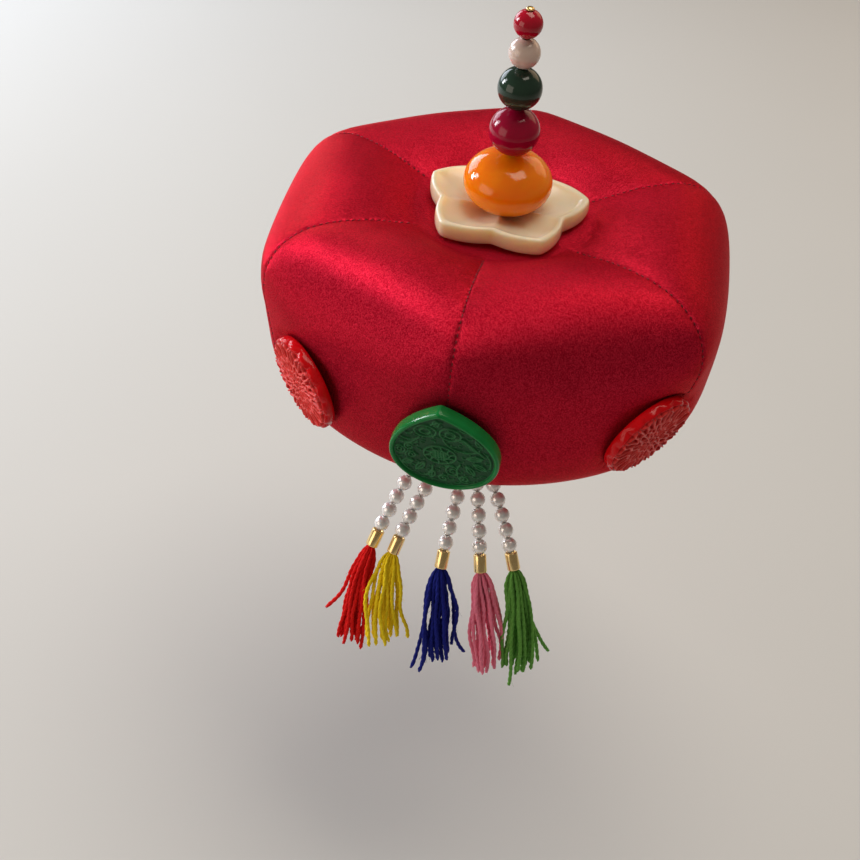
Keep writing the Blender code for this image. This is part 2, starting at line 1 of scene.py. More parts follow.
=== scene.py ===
# %% [markdown]
# # Dressing a jokduri
# A jokduri is the small padded coronet of a Korean wedding. Six gores of red silk satin
# are sewn over wadding. Beads stand on a stone flower on its top, three carved plaques sit
# round its side, and five strings of pearls with tassels hang from its front edge. The
# solids of it are measured and packed already. This lesson gives each of them its real
# surface, and every new piece takes its place from the solids.

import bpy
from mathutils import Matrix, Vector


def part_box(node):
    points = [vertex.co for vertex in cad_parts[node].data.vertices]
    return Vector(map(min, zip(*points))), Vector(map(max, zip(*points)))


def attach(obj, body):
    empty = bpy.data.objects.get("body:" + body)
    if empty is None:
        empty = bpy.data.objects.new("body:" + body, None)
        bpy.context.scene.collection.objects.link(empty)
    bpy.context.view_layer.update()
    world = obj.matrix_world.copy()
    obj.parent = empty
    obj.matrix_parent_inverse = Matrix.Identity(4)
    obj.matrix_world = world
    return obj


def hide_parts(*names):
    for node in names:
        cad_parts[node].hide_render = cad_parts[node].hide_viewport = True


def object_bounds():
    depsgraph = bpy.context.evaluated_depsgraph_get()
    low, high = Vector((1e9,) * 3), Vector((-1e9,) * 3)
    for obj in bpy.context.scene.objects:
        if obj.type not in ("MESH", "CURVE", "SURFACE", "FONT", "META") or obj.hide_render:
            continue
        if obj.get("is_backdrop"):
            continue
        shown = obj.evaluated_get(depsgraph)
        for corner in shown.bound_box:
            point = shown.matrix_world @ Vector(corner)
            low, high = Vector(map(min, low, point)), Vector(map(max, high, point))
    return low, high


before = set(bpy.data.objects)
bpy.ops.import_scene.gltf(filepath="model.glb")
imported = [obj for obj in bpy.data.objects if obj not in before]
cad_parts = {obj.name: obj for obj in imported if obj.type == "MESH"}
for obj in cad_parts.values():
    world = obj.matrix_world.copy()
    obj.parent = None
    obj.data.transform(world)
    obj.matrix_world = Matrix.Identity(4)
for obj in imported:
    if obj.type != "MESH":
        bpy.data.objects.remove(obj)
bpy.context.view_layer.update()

# %% Tools for the rest of the lesson
import math

import bmesh
import bpy
import numpy as np
from mathutils import Matrix, Vector

# %% [markdown]
# ## The camera
# The photograph looks down on the coronet from in front, a little from the right. Three
# directions and a place are enough to stand where its camera stood, and the focal length
# follows from how fast the far side of the coronet shrinks. A camera could also be aimed
# with a Track To constraint, but a matrix of the three directions can't drift or flip.

# %% Camera
VIEW_RIGHT = Vector((0.9779, 0.1968, 0.0710))
VIEW_DOWN = Vector((0.1791, -0.6120, -0.7703))
VIEW_AHEAD = Vector((-0.1081, 0.7660, -0.6337))
CAMERA_PLACE = (0.03622, -0.36639, 0.27830)
SENSOR_WIDTH = 36.0
FOCAL_LENGTH = 58.61

lens = bpy.data.cameras.new("camera")
lens.sensor_width = SENSOR_WIDTH
lens.lens = FOCAL_LENGTH
lens.clip_start = 0.01
camera = bpy.data.objects.new("camera", lens)
bpy.context.scene.collection.objects.link(camera)
turn = Matrix((VIEW_RIGHT, -VIEW_DOWN, -VIEW_AHEAD)).transposed().to_4x4()
camera.matrix_world = Matrix.Translation(CAMERA_PLACE) @ turn
bpy.context.scene.camera = camera
print("camera looks", round(math.degrees(math.asin(-VIEW_AHEAD.z)), 1), "degrees down")

# %% [markdown]
# ## Colours and nodes
# A hex code is written for a screen, which stores light unevenly. Cycles adds light up, so
# it needs the even, linear amount, and one function turns every code into that. A second
# one adds a node with its settings and its links, which keeps each material to a few lines.
# Few real surfaces have one even tone, so a third makes a material whose colour drifts
# between two, by a noise on the piece's own coordinates. A pattern's scale is how many of
# its cells fit in a metre: 500 gives specks of 2 mm.

# %% Colour and node helpers
bpy.context.scene.view_settings.view_transform = "Standard"


def linear(code):
    """An sRGB hex code such as #A80F1C as linear red, green, blue and alpha."""
    shares = [int(code[i : i + 2], 16) / 255 for i in (1, 3, 5)]
    even = [s / 12.92 if s <= 0.04045 else ((s + 0.055) / 1.055) ** 2.4 for s in shares]
    return (*even, 1.0)


def add_node(tree, kind, settings=None, links=None):
    """Add a node. Settings name its properties or sockets, and links feed its sockets."""
    node = tree.nodes.new(kind)
    for key, value in (settings or {}).items():
        if isinstance(key, str) and hasattr(node, key):
            setattr(node, key, value)
        else:
            node.inputs[key].default_value = value
    for key, source in (links or {}).items():
        tree.links.new(source, node.inputs[key])
    return node


def new_material(name, settings):
    """A material with a Principled shader, and the tree that its nodes go in."""
    material = bpy.data.materials.new(name)
    material.use_nodes = True
    tree = material.node_tree
    shader = tree.nodes["Principled BSDF"]
    for key, value in settings.items():
        shader.inputs[key].default_value = value
    return material, tree, shader


def two_toned(name, dark, light, pattern, settings):
    """A material that drifts between two tones, with its tree, shader and noise."""
    material, tree, shader = new_material(name, settings)
    where = add_node(tree, "ShaderNodeTexCoord")
    drift = add_node(tree, "ShaderNodeTexNoise", pattern, {"Vector": where.outputs["Object"]})
    tone = add_node(
        tree,
        "ShaderNodeMix",
        {"data_type": "RGBA", 6: linear(dark), 7: linear(light)},
        {0: drift.outputs[0]},
    )
    tree.links.new(tone.outputs[2], shader.inputs["Base Color"])
    return material, tree, shader, drift


def finished(bm, name):
    """The bmesh as a mesh. The bmesh is used up."""
    mesh = bpy.data.meshes.new(name)
    bm.to_mesh(mesh)
    bm.free()
    return mesh


# %% [markdown]
# ## The studio
# The light is cool from the left, low down and from behind, and a warmer light comes back
# from all round. So there are two cool panes on the left and a cool window behind them,
# and three large warm areas: above, in front on the left, and behind on the right. The
# panes give the beads their glints, and the area above lays a soft band over the shoulder
# of the satin. One sun would be simpler, but its shadows are hard and it leaves no soft
# band. A faint pale world fills the shadows. The floor is a plain pale sheet that is far
# bigger than the view.

# %% Floor and lights
FLOOR_LEVEL = -0.15
FLOOR_SIZE = 4.0
# Plaster, trowelled smooth and unpainted: dull and pale. Its clouds are a third of a metre.
plaster, *_ = two_toned(
    "matt_plaster", "#C8CAC8", "#D0D2D0", {"Scale": 3.0, "Detail": 2.0}, {"Roughness": 0.9}
)

bm = bmesh.new()
bmesh.ops.create_grid(bm, x_segments=1, y_segments=1, size=FLOOR_SIZE)
bmesh.ops.translate(bm, vec=(0.0, 0.0, FLOOR_LEVEL), verts=bm.verts)
floor_mesh = finished(bm, "floor")
floor_mesh.materials.append(plaster)
floor = bpy.data.objects.new("floor", floor_mesh)
bpy.context.scene.collection.objects.link(floor)
floor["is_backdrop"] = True


def add_light(name, place, aim_height, size, watts, code):
    """A rectangular area light that looks at a height on the coronet's middle line."""
    data = bpy.data.lights.new(name, "AREA")
    data.shape = "RECTANGLE"
    data.size, data.size_y = size
    data.energy = watts
    data.color = linear(code)[:3]
    lamp = bpy.data.objects.new(name, data)
    gaze = Vector((0.0, 0.0, aim_height)) - Vector(place)
    aim = gaze.to_track_quat("-Z", "Y").to_matrix().to_4x4()
    lamp.matrix_world = Matrix.Translation(place) @ aim
    bpy.context.scene.collection.objects.link(lamp)


add_light("back_window", (-0.72, 0.70, 0.26), 0.02, (0.6, 0.5), 4.3, "#EAF1FF")
add_light("left_pane_low", (-1.15, 0.24, 0.30), 0.02, (0.24, 0.28), 6.4, "#F6F8FF")
add_light("left_pane_high", (-1.08, 0.10, 0.50), 0.02, (0.22, 0.26), 2.2, "#F6F8FF")
add_light("ceiling", (0.12, 0.15, 1.06), 0.02, (0.9, 0.52), 6.4, "#FFF2E2")
add_light("front_wall", (-0.78, -0.70, 0.24), 0.0, (0.7, 0.6), 2.6, "#FFF0E0")
add_light("warm_wall", (0.52, 0.85, 0.52), 0.02, (0.7, 0.6), 1.8, "#FFD8B0")
world = bpy.data.worlds.new("room_light")
world.use_nodes = True
world.node_tree.nodes["Background"].inputs["Color"].default_value = linear("#F8EEE2")
world.node_tree.nodes["Background"].inputs["Strength"].default_value = 0.17
bpy.context.scene.world = world
print(len(bpy.data.lights), "lights over a floor at", FLOOR_LEVEL)

# %% [markdown]
# ## Sheets that bend
# Most soft and carved pieces here start as one flat grid. The grid operator lays the quads
# out, and then each corner moves to its place on the surface. Where the surface closes on
# itself, at a seam or a pole, the corners that meet are welded. Extruding ring after ring
# would give the same faces, but with a grid each corner knows its row and its column.

# %% Grid helpers
WELD_REACH = 5e-7


def flat_sheet(name, columns, rows):
    """A grid of quads, and the column and the row of each of its corners."""
    bm = bmesh.new()
    bmesh.ops.create_grid(bm, x_segments=columns, y_segments=rows, size=0.5)
    mesh = finished(bm, name)
    flat = np.empty(len(mesh.vertices) * 3)
    mesh.vertices.foreach_get("co", flat)
    flat = flat.reshape(-1, 3) + 0.5
    return mesh, np.rint(flat[:, 0] * columns).astype(int), np.rint(flat[:, 1] * rows).astype(int)


def close_up(mesh):
    """Weld the corners that meet, and turn the faces outward."""
    bm = bmesh.new()
    bm.from_mesh(mesh)
    bmesh.ops.remove_doubles(bm, verts=bm.verts, dist=WELD_REACH)
    bmesh.ops.recalc_face_normals(bm, faces=bm.faces)
    bm.to_mesh(mesh)
    bm.free()


def bent_sheet(name, surface, **marks):
    """A closed sheet whose corners lie on surface, rows of places. It keeps the marks."""
    mesh, column, row = flat_sheet(name, surface.shape[1] - 1, surface.shape[0] - 1)
    mesh.vertices.foreach_set("co", surface[row, column].astype(np.float32).ravel())
    for mark, values in marks.items():
        layer = mesh.attributes.new(mark, "FLOAT", "POINT")
        layer.data.foreach_set("value", values[row, column].astype(np.float32))
    close_up(mesh)
    return mesh


def spline(knots, values, at):
    """A smooth curve through values, which need not be evenly spaced along it."""
    knots, values, at = (np.asarray(x, float) for x in (knots, values, at))
    step = np.diff(knots)
    slope = np.diff(values, axis=0) / step[:, None]
    inner = (slope[:-1] * step[1:, None] + slope[1:] * step[:-1, None]) / (
        step[:-1, None] + step[1:, None]
    )
    tangent = np.vstack([slope[:1], inner, slope[-1:]])
    i = np.clip(np.searchsorted(knots, at, side="right") - 1, 0, len(step) - 1)
    t = ((at - knots[i]) / step[i])[:, None]
    h = step[i][:, None]
    return (
        values[i] * (1 + 2 * t) * (1 - t) ** 2
        + tangent[i] * h * t * (1 - t) ** 2
        + values[i + 1] * t * t * (3 - 2 * t)
        + tangent[i + 1] * h * t * t * (t - 1)
    )


def add_piece(name, mesh, material, slot, *nodes):
    """Put a finished mesh in the scene for the CAD nodes that it stands for."""
    mesh.name = name
    mesh.materials.append(material)
    mesh.shade_smooth()
    piece = bpy.data.objects.new(name, mesh)
    bpy.context.scene.collection.objects.link(piece)
    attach(piece, "root")
    if nodes:
        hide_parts(*nodes)
    print(name, sum(len(face.vertices) - 2 for face in mesh.polygons), "triangles")
    return piece


# %% [markdown]
# ## The plaques' seats
# Three plaques are stitched to the side of the crown, and the wadding is pressed flat
# behind each. A plaque's frame has x to its right, y up and z out of the crown. Both the
# satin and the plaques need these frames, so they come first. The places and the angles,
# in degrees, are those of the medallions' solids.

# %% Frames of the three plaques
def heading(azimuth):
    """The level direction at an azimuth, in degrees from the front towards the right."""
    angle = math.radians(azimuth)
    return Vector((math.sin(angle), -math.cos(angle), 0.0))


def plaque_frame(place, facing, lean, roll):
    """A frame at a place, by where it faces, how far it looks down, and its roll."""
    tilt = math.radians(lean)
    outward = heading(facing) * math.cos(tilt) - Vector((0.0, 0.0, math.sin(tilt)))
    right = heading(facing + 90.0)
    basis = Matrix((right, outward.cross(right), outward)).transposed().to_4x4()
    return Matrix.Translation(place) @ basis @ Matrix.Rotation(math.radians(roll), 4, "Z")


FRONT_FRAME = plaque_frame((-0.000577, -0.069181, 0.027324), -2.1, 13.0, 6.0)
LEFT_FRAME = plaque_frame((-0.045334, -0.050308, 0.027411), -46.0, 12.6, 0.0)
RIGHT_FRAME = plaque_frame((0.052709, -0.046330, 0.027909), 49.8, 17.0, 0.0)
FRONT_HALF_WIDTH = 0.0158
FRONT_TIP = 0.0188
FRONT_FOOT = 0.0142
DISC_RADIUS = 0.0149
DISC_HUG = 0.0146
# Each plaque's frame, how far the flat patch behind it reaches, and how far the plaque
# itself reaches sideways, down and up.
PRESSED = (
    (FRONT_FRAME, 0.0213, (FRONT_HALF_WIDTH, 0.0150, FRONT_TIP)),
    (LEFT_FRAME, 0.0203, (DISC_HUG, DISC_HUG, DISC_HUG)),
    (RIGHT_FRAME, 0.0203, (DISC_HUG, DISC_HUG, DISC_HUG)),
)

# %% [markdown]
# ## The crown's form
# The real crown is six gores of satin, sewn edge to edge and pulled over a firm pad. Its
# outline is a list of sections from the dimple under the flower, over the shoulder, down to
# the lip and up into the hollow. A cube with a Subdivision Surface would be quicker, but it
# can't keep the six corners and the flat sides that a gore has between two seams.

# %% Sections of the crown
CROWN_RADIUS = 0.075
CROWN_HEIGHT = 0.069
SEAT_RADIUS = 0.0268
SEAT_HEIGHT = 0.0636
LIP_RADIUS = 0.0472
MOUTH_RADIUS = 0.045
HOLLOW_DEPTH = 0.038
GORE_LIFT = 0.0019
PIN_HOLE = 0.0028
SEAT_DISH = 0.0011
PIN_HOLE_FOOT = 0.0490
# Each seam's azimuth, and how far out it lies as a share.
SEAMS = (
    (-1.0, 0.966),
    (56.6, 1.039),
    (118.4, 1.011),
    (180.7, 1.015),
    (243.3, 0.988),
    (302.0, 0.984),
)
# Each row: its share of the way out, its share of the height, how far the gore keeps to a
# straight side there, and how far its middle lifts.
TOP_ROWS = (
    (0.05, 0.932, 0.18, 0.10),
    (0.16, 0.954, 0.52, 0.35),
    (0.38, 0.983, 0.95, 0.65),
    (0.55, 0.990, 0.97, 0.85),
    (0.697, 0.980, 0.92, 1.0),
    (0.822, 0.945, 0.87, 1.0),
    (0.923, 0.886, 0.80, 0.90),
    (0.985, 0.806, 0.70, 0.65),
    (1.0, 0.71, 0.57, 0.30),
)
SIDE_ROWS = (
    (0.968, 0.616, 0.46, 0.0),
    (0.906, 0.464, 0.33, 0.0),
    (0.835, 0.317, 0.23, 0.0),
    (0.712, 0.20, 0.15, 0.0),
    (0.55, 0.128, 0.12, 0.0),
    (0.375, 0.088, 0.10, 0.0),
    (0.219, 0.066, 0.07, 0.0),
    (0.112, 0.041, 0.06, 0.0),
    (0.05, 0.013, 0.02, 0.0),
)
# The hollow's share of the mouth's radius, and its share of the hollow's depth.
HOLLOW_ROWS = (
    (1.0, 0.03),
    (0.995, 0.16),
    (0.965, 0.48),
    (0.90, 0.76),
    (0.74, 0.91),
    (0.45, 0.985),
)


def outer_sections():
    """Base radius, reach, height, flatness and lift of each section, seat to hollow."""
    rows = [(SEAT_RADIUS, 0.0, SEAT_HEIGHT, 0.0, 0.0)]
    for table, edge in ((TOP_ROWS, SEAT_RADIUS), (SIDE_ROWS, LIP_RADIUS)):
        for out, up, flat, lift in table:
            rows.append((edge * (1 - out), CROWN_RADIUS * out, up * CROWN_HEIGHT, flat, lift))
    rows.append((LIP_RADIUS, 0.0, 0.0, 0.0, 0.0))
    for out, up in HOLLOW_ROWS:
        rows.append((MOUTH_RADIUS * out, 0.0, HOLLOW_DEPTH * up, 0.0, 0.0))
    rows.append((0.0, 0.0, HOLLOW_DEPTH, 0.0, 0.0))
    return np.array(rows)


sections = outer_sections()
reach = np.column_stack([sections[:, 0] + sections[:, 1], sections[:, 2]])
length = np.concatenate([[0.0], np.cumsum(np.linalg.norm(np.diff(reach, axis=0), axis=1))])
LIP_AT = length[len(TOP_ROWS) + len(SIDE_ROWS) + 1]
print("satin from the flower to the lip", round(LIP_AT * 1000, 1), "mm")

# %% [markdown]
# ## Where the grid is fine
# A seam is a narrow groove, so the columns crowd together beside each one at fixed
# distances, and spread out over the smooth middle of a gore. Rows are under half a
# millimetre apart on the outside, which is fine enough for each stitch to bite. The first
# rows are the pin's hole and the shallow dish under the flower. Where the dish meets the
# top, heights are averaged with their neighbours' many times, so that no ring shows round
# the flower. A grid as fine all over as beside the seams would have several times the faces.

# %% Rows and columns of the crown
ROW_STEP = 0.00045
BESIDE_SEAM = np.array([0.0, 0.25, 0.5, 0.8, 1.2, 1.8, 2.8]) / 1000
MIDDLE_COLUMNS = 12
SEAM_ROUND = math.radians(7.0)
HALF_COLUMNS = len(BESIDE_SEAM) - 1 + MIDDLE_COLUMNS
GORE_COLUMNS = 2 * HALF_COLUMNS
HOLLOW_STEPS = 45
HOLE_EDGE = 0.0004
DISH_STEPS = 24
EASING_PASSES = 160
EASED_ROWS = (-7, 32)

skin_at = np.linspace(0.0, LIP_AT, round(LIP_AT / ROW_STEP) + 1)
hollow_at = np.linspace(LIP_AT, length[-1], HOLLOW_STEPS)[1:]
skin_rows = spline(length, sections, np.concatenate([skin_at, hollow_at]))
hole = [
    (0.0, PIN_HOLE_FOOT),
    (PIN_HOLE, PIN_HOLE_FOOT),
    (PIN_HOLE, SEAT_HEIGHT - SEAT_DISH - HOLE_EDGE),
    (PIN_HOLE + HOLE_EDGE, SEAT_HEIGHT - SEAT_DISH),
]
for r in np.linspace(0.005, SEAT_RADIUS - 0.0006, DISH_STEPS):
    hole.append((r, SEAT_HEIGHT - SEAT_DISH * (1 - (r / SEAT_RADIUS) ** 2)))
hole_rows = np.array([(radius, 0.0, height, 0.0, 0.0) for radius, height in hole])
rows = np.vstack([hole_rows, skin_rows])
seat_edge = len(hole_rows)
start, stop = (seat_edge + row for row in EASED_ROWS)
for _ in range(EASING_PASSES):
    rows[start:stop, 2] = (rows[start - 1 : stop - 1, 2] + rows[start + 1 : stop + 1, 2]) / 2
rows[-1, 0] = 0.0
along = np.concatenate([np.zeros(len(hole_rows)), skin_at, hollow_at])


def gore_strip(index, rows):
    """Places across one gore, and how far each lies from the gore's two seams."""
    azimuth, share_out = SEAMS[index]
    next_azimuth, next_out = SEAMS[(index + 1) % 6]
    span = (next_azimuth - azimuth) % 360.0
    base, out, height, flat, lift = (rows[:, k][:, None] for k in range(5))
    first = base + out * share_out
    second = base + out * next_out
    width = np.radians(span) * (first + second) / 2
    squeeze = np.minimum(1.0, width / 4 / BESIDE_SEAM[-1])
    middle = np.linspace(0.0, 1.0, MIDDLE_COLUMNS + 1)[1:]
    close = BESIDE_SEAM * squeeze
    half = np.hstack([close, close[:, -1:] + (width / 2 - close[:, -1:]) * middle])
    across = np.hstack([half, width - half[:, -2::-1]])
    share = across / np.maximum(width, 1e-9)
    radius = first + (second - first) * share
    angle = np.radians(azimuth + span * share)
    half_span = math.radians(span / 2)
    inward = half_span - np.abs(np.radians(span * (share - 0.5)))
    eased = np.sqrt(inward**2 + SEAM_ROUND**2) - SEAM_ROUND
    eased *= half_span / (math.sqrt(half_span**2 + SEAM_ROUND**2) - SEAM_ROUND)
    chord = np.minimum(math.cos(half_span) / np.cos(half_span - eased), 1.0)
    radius = radius * (1 - flat * (1 - chord))
    height = height + lift * GORE_LIFT * np.sin(math.pi * share) ** 2
    places = np.stack([np.sin(angle) * radius, -np.cos(angle) * radius, height], axis=2)
    return places, across, share, np.broadcast_to(width, across.shape)


strips = [gore_strip(index, rows) for index in range(6)]
crown = np.concatenate([strip[0][:, :-1] for strip in strips] + [strips[0][0][:, :1]], axis=1)
share = np.concatenate([strip[2][:, :-1] for strip in strips] + [strips[0][2][:, :1]], axis=1)
from_seam = np.concatenate(
    [np.minimum(s[1], s[3] - s[1])[:, :-1] for s in strips] + [strips[0][1][:, :1]], axis=1
)
print("crown grid", crown.shape[0], "rows by", crown.shape[1], "columns")

# %% [markdown]
# ## Wadding that pushes
# Real padding presses the satin outward between its seams. The sections already lift the
# middle of each gore, and Blender's cloth adds the finer, uneven part: a coarse copy of
# the skin is pinned along its seams, at the flower and at the lip, and a light pressure
# swells it. How far each point rose is read back, capped, and carried over to the fine
# grid, which has many more corners than so gentle a swell needs.

# %% Cloth simulation of the swell
SWELL_COLUMNS = 12
SWELL_ROWS = 56
SWELL_FRAMES = 20
SWELL_CAP = 0.0005


def outward(surface):
    """Unit normals of a surface that closes on itself from side to side."""
    ring = np.concatenate([surface[:, -2:-1], surface, surface[:, 1:2]], axis=1)
    across = np.gradient(ring, axis=1)[:, 1:-1]
    normal = np.cross(np.gradient(surface, axis=0), across)
    return normal / np.maximum(np.linalg.norm(normal, axis=2, keepdims=True), 1e-12)


def coarse_skin():
    """The outer skin with few, evenly spaced columns."""
    at = spline(length, sections, np.linspace(0.0, LIP_AT, SWELL_ROWS + 1))
    parts = []
    for index in range(6):
        places, _, fine, _ = gore_strip(index, at)
        want = np.arange(SWELL_COLUMNS) / SWELL_COLUMNS
        for k in want:
            pairs = zip(fine, places)
            parts.append([[np.interp(k, f, p[:, c]) for c in range(3)] for f, p in pairs])
    parts.append(parts[0])
    return np.swapaxes(np.array(parts), 0, 1)


def swell_of(surface):
    """How far a light pressure lifts each point of a pinned skin."""
    mesh, column, row = flat_sheet("swell", surface.shape[1] - 1, surface.shape[0] - 1)
    mesh.vertices.foreach_set("co", surface[row, column].astype(np.float32).ravel())
    mesh.flip_normals()
    pad = bpy.data.objects.new("swell", mesh)
    bpy.context.scene.collection.objects.link(pad)
    held = (column % SWELL_COLUMNS == 0) | (row < 2) | (row > SWELL_ROWS - 3)
    pins = pad.vertex_groups.new(name="pins")
    pins.add(np.flatnonzero(held).tolist(), 1.0, "REPLACE")
    cloth = pad.modifiers.new("cloth", "CLOTH")
    cloth.settings.vertex_group_mass = "pins"
    cloth.settings.mass = 0.05
    cloth.settings.tension_stiffness = 15.0
    cloth.settings.compression_stiffness = 15.0
    cloth.settings.bending_stiffness = 2.0
    cloth.settings.use_pressure = True
    cloth.settings.uniform_pressure_force = 1500.0
    cloth.settings.effector_weights.gravity = 0.0
    cloth.collision_settings.use_collision = False
    cloth.point_cache.frame_start = 1
    cloth.point_cache.frame_end = SWELL_FRAMES
    for step in range(1, SWELL_FRAMES + 1):
        bpy.context.scene.frame_set(step)
    graph = bpy.context.evaluated_depsgraph_get()
    risen = pad.evaluated_get(graph).to_mesh()
    co = np.empty(len(risen.vertices) * 3)
    risen.vertices.foreach_get("co", co)
    moved = np.zeros(surface.shape)
    moved[row, column] = co.reshape(-1, 3)
    pad.evaluated_get(graph).to_mesh_clear()
    bpy.data.objects.remove(pad)
    bpy.context.scene.frame_set(1)
    return ((moved - surface) * outward(surface)).sum(axis=2)


def smooth_pick(values, at, cycle=False):
    """Values along the last axis at fractional places, joined by smooth curves."""
    count = values.shape[-1]
    i = np.clip(np.floor(at).astype(int), 0, count - 2)
    t = at - i

    def pick(k):
        """Values at whole places. Past an end they stay there, or go round."""
        k = k % (count - 1) if cycle else np.clip(k, 0, count - 1)
        return np.take_along_axis(values, k, axis=-1)

    a, b, c, d = pick(i - 1), pick(i), pick(i + 1), pick(i + 2)
    return b + 0.5 * t * (c - a + t * (2 * a - 5 * b + 4 * c - d + t * (3 * (b - c) + d - a)))


swell = np.zeros(from_seam.shape)
rise = swell_of(coarse_skin())
print("cloth rose", round(rise.max() * 1000, 2), "mm, sank", round(rise.min() * 1000, 2))
rise = np.tanh(rise / SWELL_CAP) * SWELL_CAP
skin = slice(len(hole_rows), len(hole_rows) + len(skin_at))
up = np.broadcast_to(skin_at / LIP_AT * SWELL_ROWS, (rise.shape[1], len(skin_at)))
tall = smooth_pick(rise.T, up).T
gore = np.repeat(np.arange(6), GORE_COLUMNS)
part = np.append(share[skin][:, :-1], share[skin][:, :1] * 0, axis=1)
place = np.append(gore, 6) + part
swell[skin] = smooth_pick(tall, place * SWELL_COLUMNS, cycle=True)

# %% [markdown]
# ## Seams and stitches
# A seam is where two gores were sewn right sides together and opened out. The satin dips
# into it, and each stitch pulls a small pit every two millimetres. Close to the seam the
# cloth is slightly gathered, so faint ripples run off it. A bump in the material would be
# lighter, but it doesn't change the outline, and here the pits are deep enough to see.

# %% Grooves, pits and ripples
STITCH_PITCH = 0.0020
STITCH_UNEVEN = 0.00012
STITCH_BITE = 0.00048
GROOVE_DEPTH = 0.00022
GROOVE_REACH = 0.0006
SLOPE_DEPTH = 0.00010
SLOPE_REACH = 0.0030
PIT_DEPTH = 0.00036
PIT_REACH = 0.0005
RIPPLE_DEPTH = 0.00005
RIPPLE_REACH = 0.005
WAVES = 4
FADE_AT_FLOWER = 0.004
FADE_AT_LIP = 0.003


def bell(distance, reach):
    """One at no distance, and close to nothing two reaches away."""
    return np.exp(-((distance / reach) ** 2))


rng = np.random.default_rng(7)
skin_mask = np.zeros(len(rows))
skin_mask[len(hole_rows) : len(hole_rows) + len(skin_at)] = 1.0
fade = np.clip(along / FADE_AT_FLOWER, 0, 1) * np.clip((LIP_AT - along) / FADE_AT_LIP, 0, 1)
fade = fade * skin_mask
stitches_at = np.arange(STITCH_PITCH, LIP_AT - STITCH_PITCH, STITCH_PITCH)
seam_places = []
groove = np.zeros(from_seam.shape)
column_gore = np.append(np.repeat(np.arange(6), GORE_COLUMNS), 0)
column_in_gore = np.append(np.tile(np.arange(GORE_COLUMNS), 6), 0)
nearest_seam = np.where(column_in_gore > HALF_COLUMNS, (column_gore + 1) % 6, column_gore)
for seam in range(6):
    places = stitches_at + rng.normal(0.0, STITCH_UNEVEN, len(stitches_at))
    depth = rng.uniform(0.75, 1.15, len(places))
    seam_places.append(places)
    bite = bell(along[:, None] - places, STITCH_BITE) @ depth
    wave = np.zeros(len(along))
    for _ in range(WAVES):
        size = rng.uniform(0.5, 1.0)
        wave += size * np.sin(2 * np.pi * along / rng.uniform(0.005, 0.013) + rng.uniform(0, 6))
    side = nearest_seam == seam
    d = from_seam[:, side]
    dip = GROOVE_DEPTH * bell(d, GROOVE_REACH) + SLOPE_DEPTH * bell(d, SLOPE_REACH)
    pit = PIT_DEPTH * bite[:, None] * bell(d, PIT_REACH)
    ripple = RIPPLE_DEPTH * wave[:, None] * np.exp(-d / RIPPLE_REACH) * np.clip(d / 0.001, 0, 1)
    groove[:, side] = (-dip - pit + ripple) * fade[:, None]
normal = outward(crown)
crown = crown + normal * (swell + groove)[:, :, None]
print("stitches", sum(len(p) for p in seam_places), "deepest pit", round(-groove.min() * 1000, 2), "mm")

# %% [markdown]
# ## Dimples behind the plaques
# A plaque is sewn down hard, so the pad under it is pressed flat, and the satin rolls up
# round its edge. A boolean cut would leave a sharp step. Here a limit is drawn behind each
# plaque, which rises round the edge and slopes away, and satin above it is eased down to it.

# %% Press the satin flat behind the plaques
BACK_CLEAR = 0.0003
EDGE_CLEAR = 0.0002
ROLL_HEIGHT = 0.0023
ROLL_REACH = 0.0017
SLOPE_AWAY = 0.35
PRESS_REACH = 0.014
PRESS_SOFT = 0.0008


def press_flat(surface):
    """Keep the satin behind each plaque's back, easing up round its edge."""
    surface = surface.copy()
    for seat, flat_reach, (half_width, below, above) in PRESSED:
        turn = np.array(seat.to_3x3())
        place = np.array(seat.translation)
        local = (surface - place) @ turn
        beyond = np.maximum(np.hypot(local[..., 0], local[..., 1]) - flat_reach, 0.0)
        size = np.where(local[..., 1] > 0, above, below)
        outside = np.hypot(local[..., 0] / half_width, local[..., 1] / size) - 1
        hug = np.clip(outside * half_width - EDGE_CLEAR, 0, None)
        roll = ROLL_HEIGHT * (1 - np.exp(-hug / ROLL_REACH))
        limit = beyond * SLOPE_AWAY - BACK_CLEAR + roll
        near = (beyond < PRESS_REACH) & (local[..., 2] > -flat_reach)
        gap = local[..., 2] - limit
        eased = limit + gap - PRESS_SOFT * np.logaddexp(0.0, gap / PRESS_SOFT)
        local[..., 2] = np.where(near, eased, local[..., 2])
        surface = local @ turn.T + place
    return surface


crown = press_flat(crown)
print("satin pressed flat behind", len(PRESSED), "plaques")

# %% [markdown]
# ## The satin
# Silk satin is woven so that long threads float over the face. They lie side by side, so
# light runs along them in a soft band, and it keeps the colour of the dye. The real threads
# are a tenth of a millimetre apart, too fine to show here, so the floats are drawn as specks
# about three tenths of a millimetre long. A photograph of cloth would repeat, while Voronoi
# cells never do: each cell is one float, lighter or darker by chance. The pattern follows
# the cloth, so it reads a map in metres that is laid out gore by gore, with the grain down
# the middle of each.

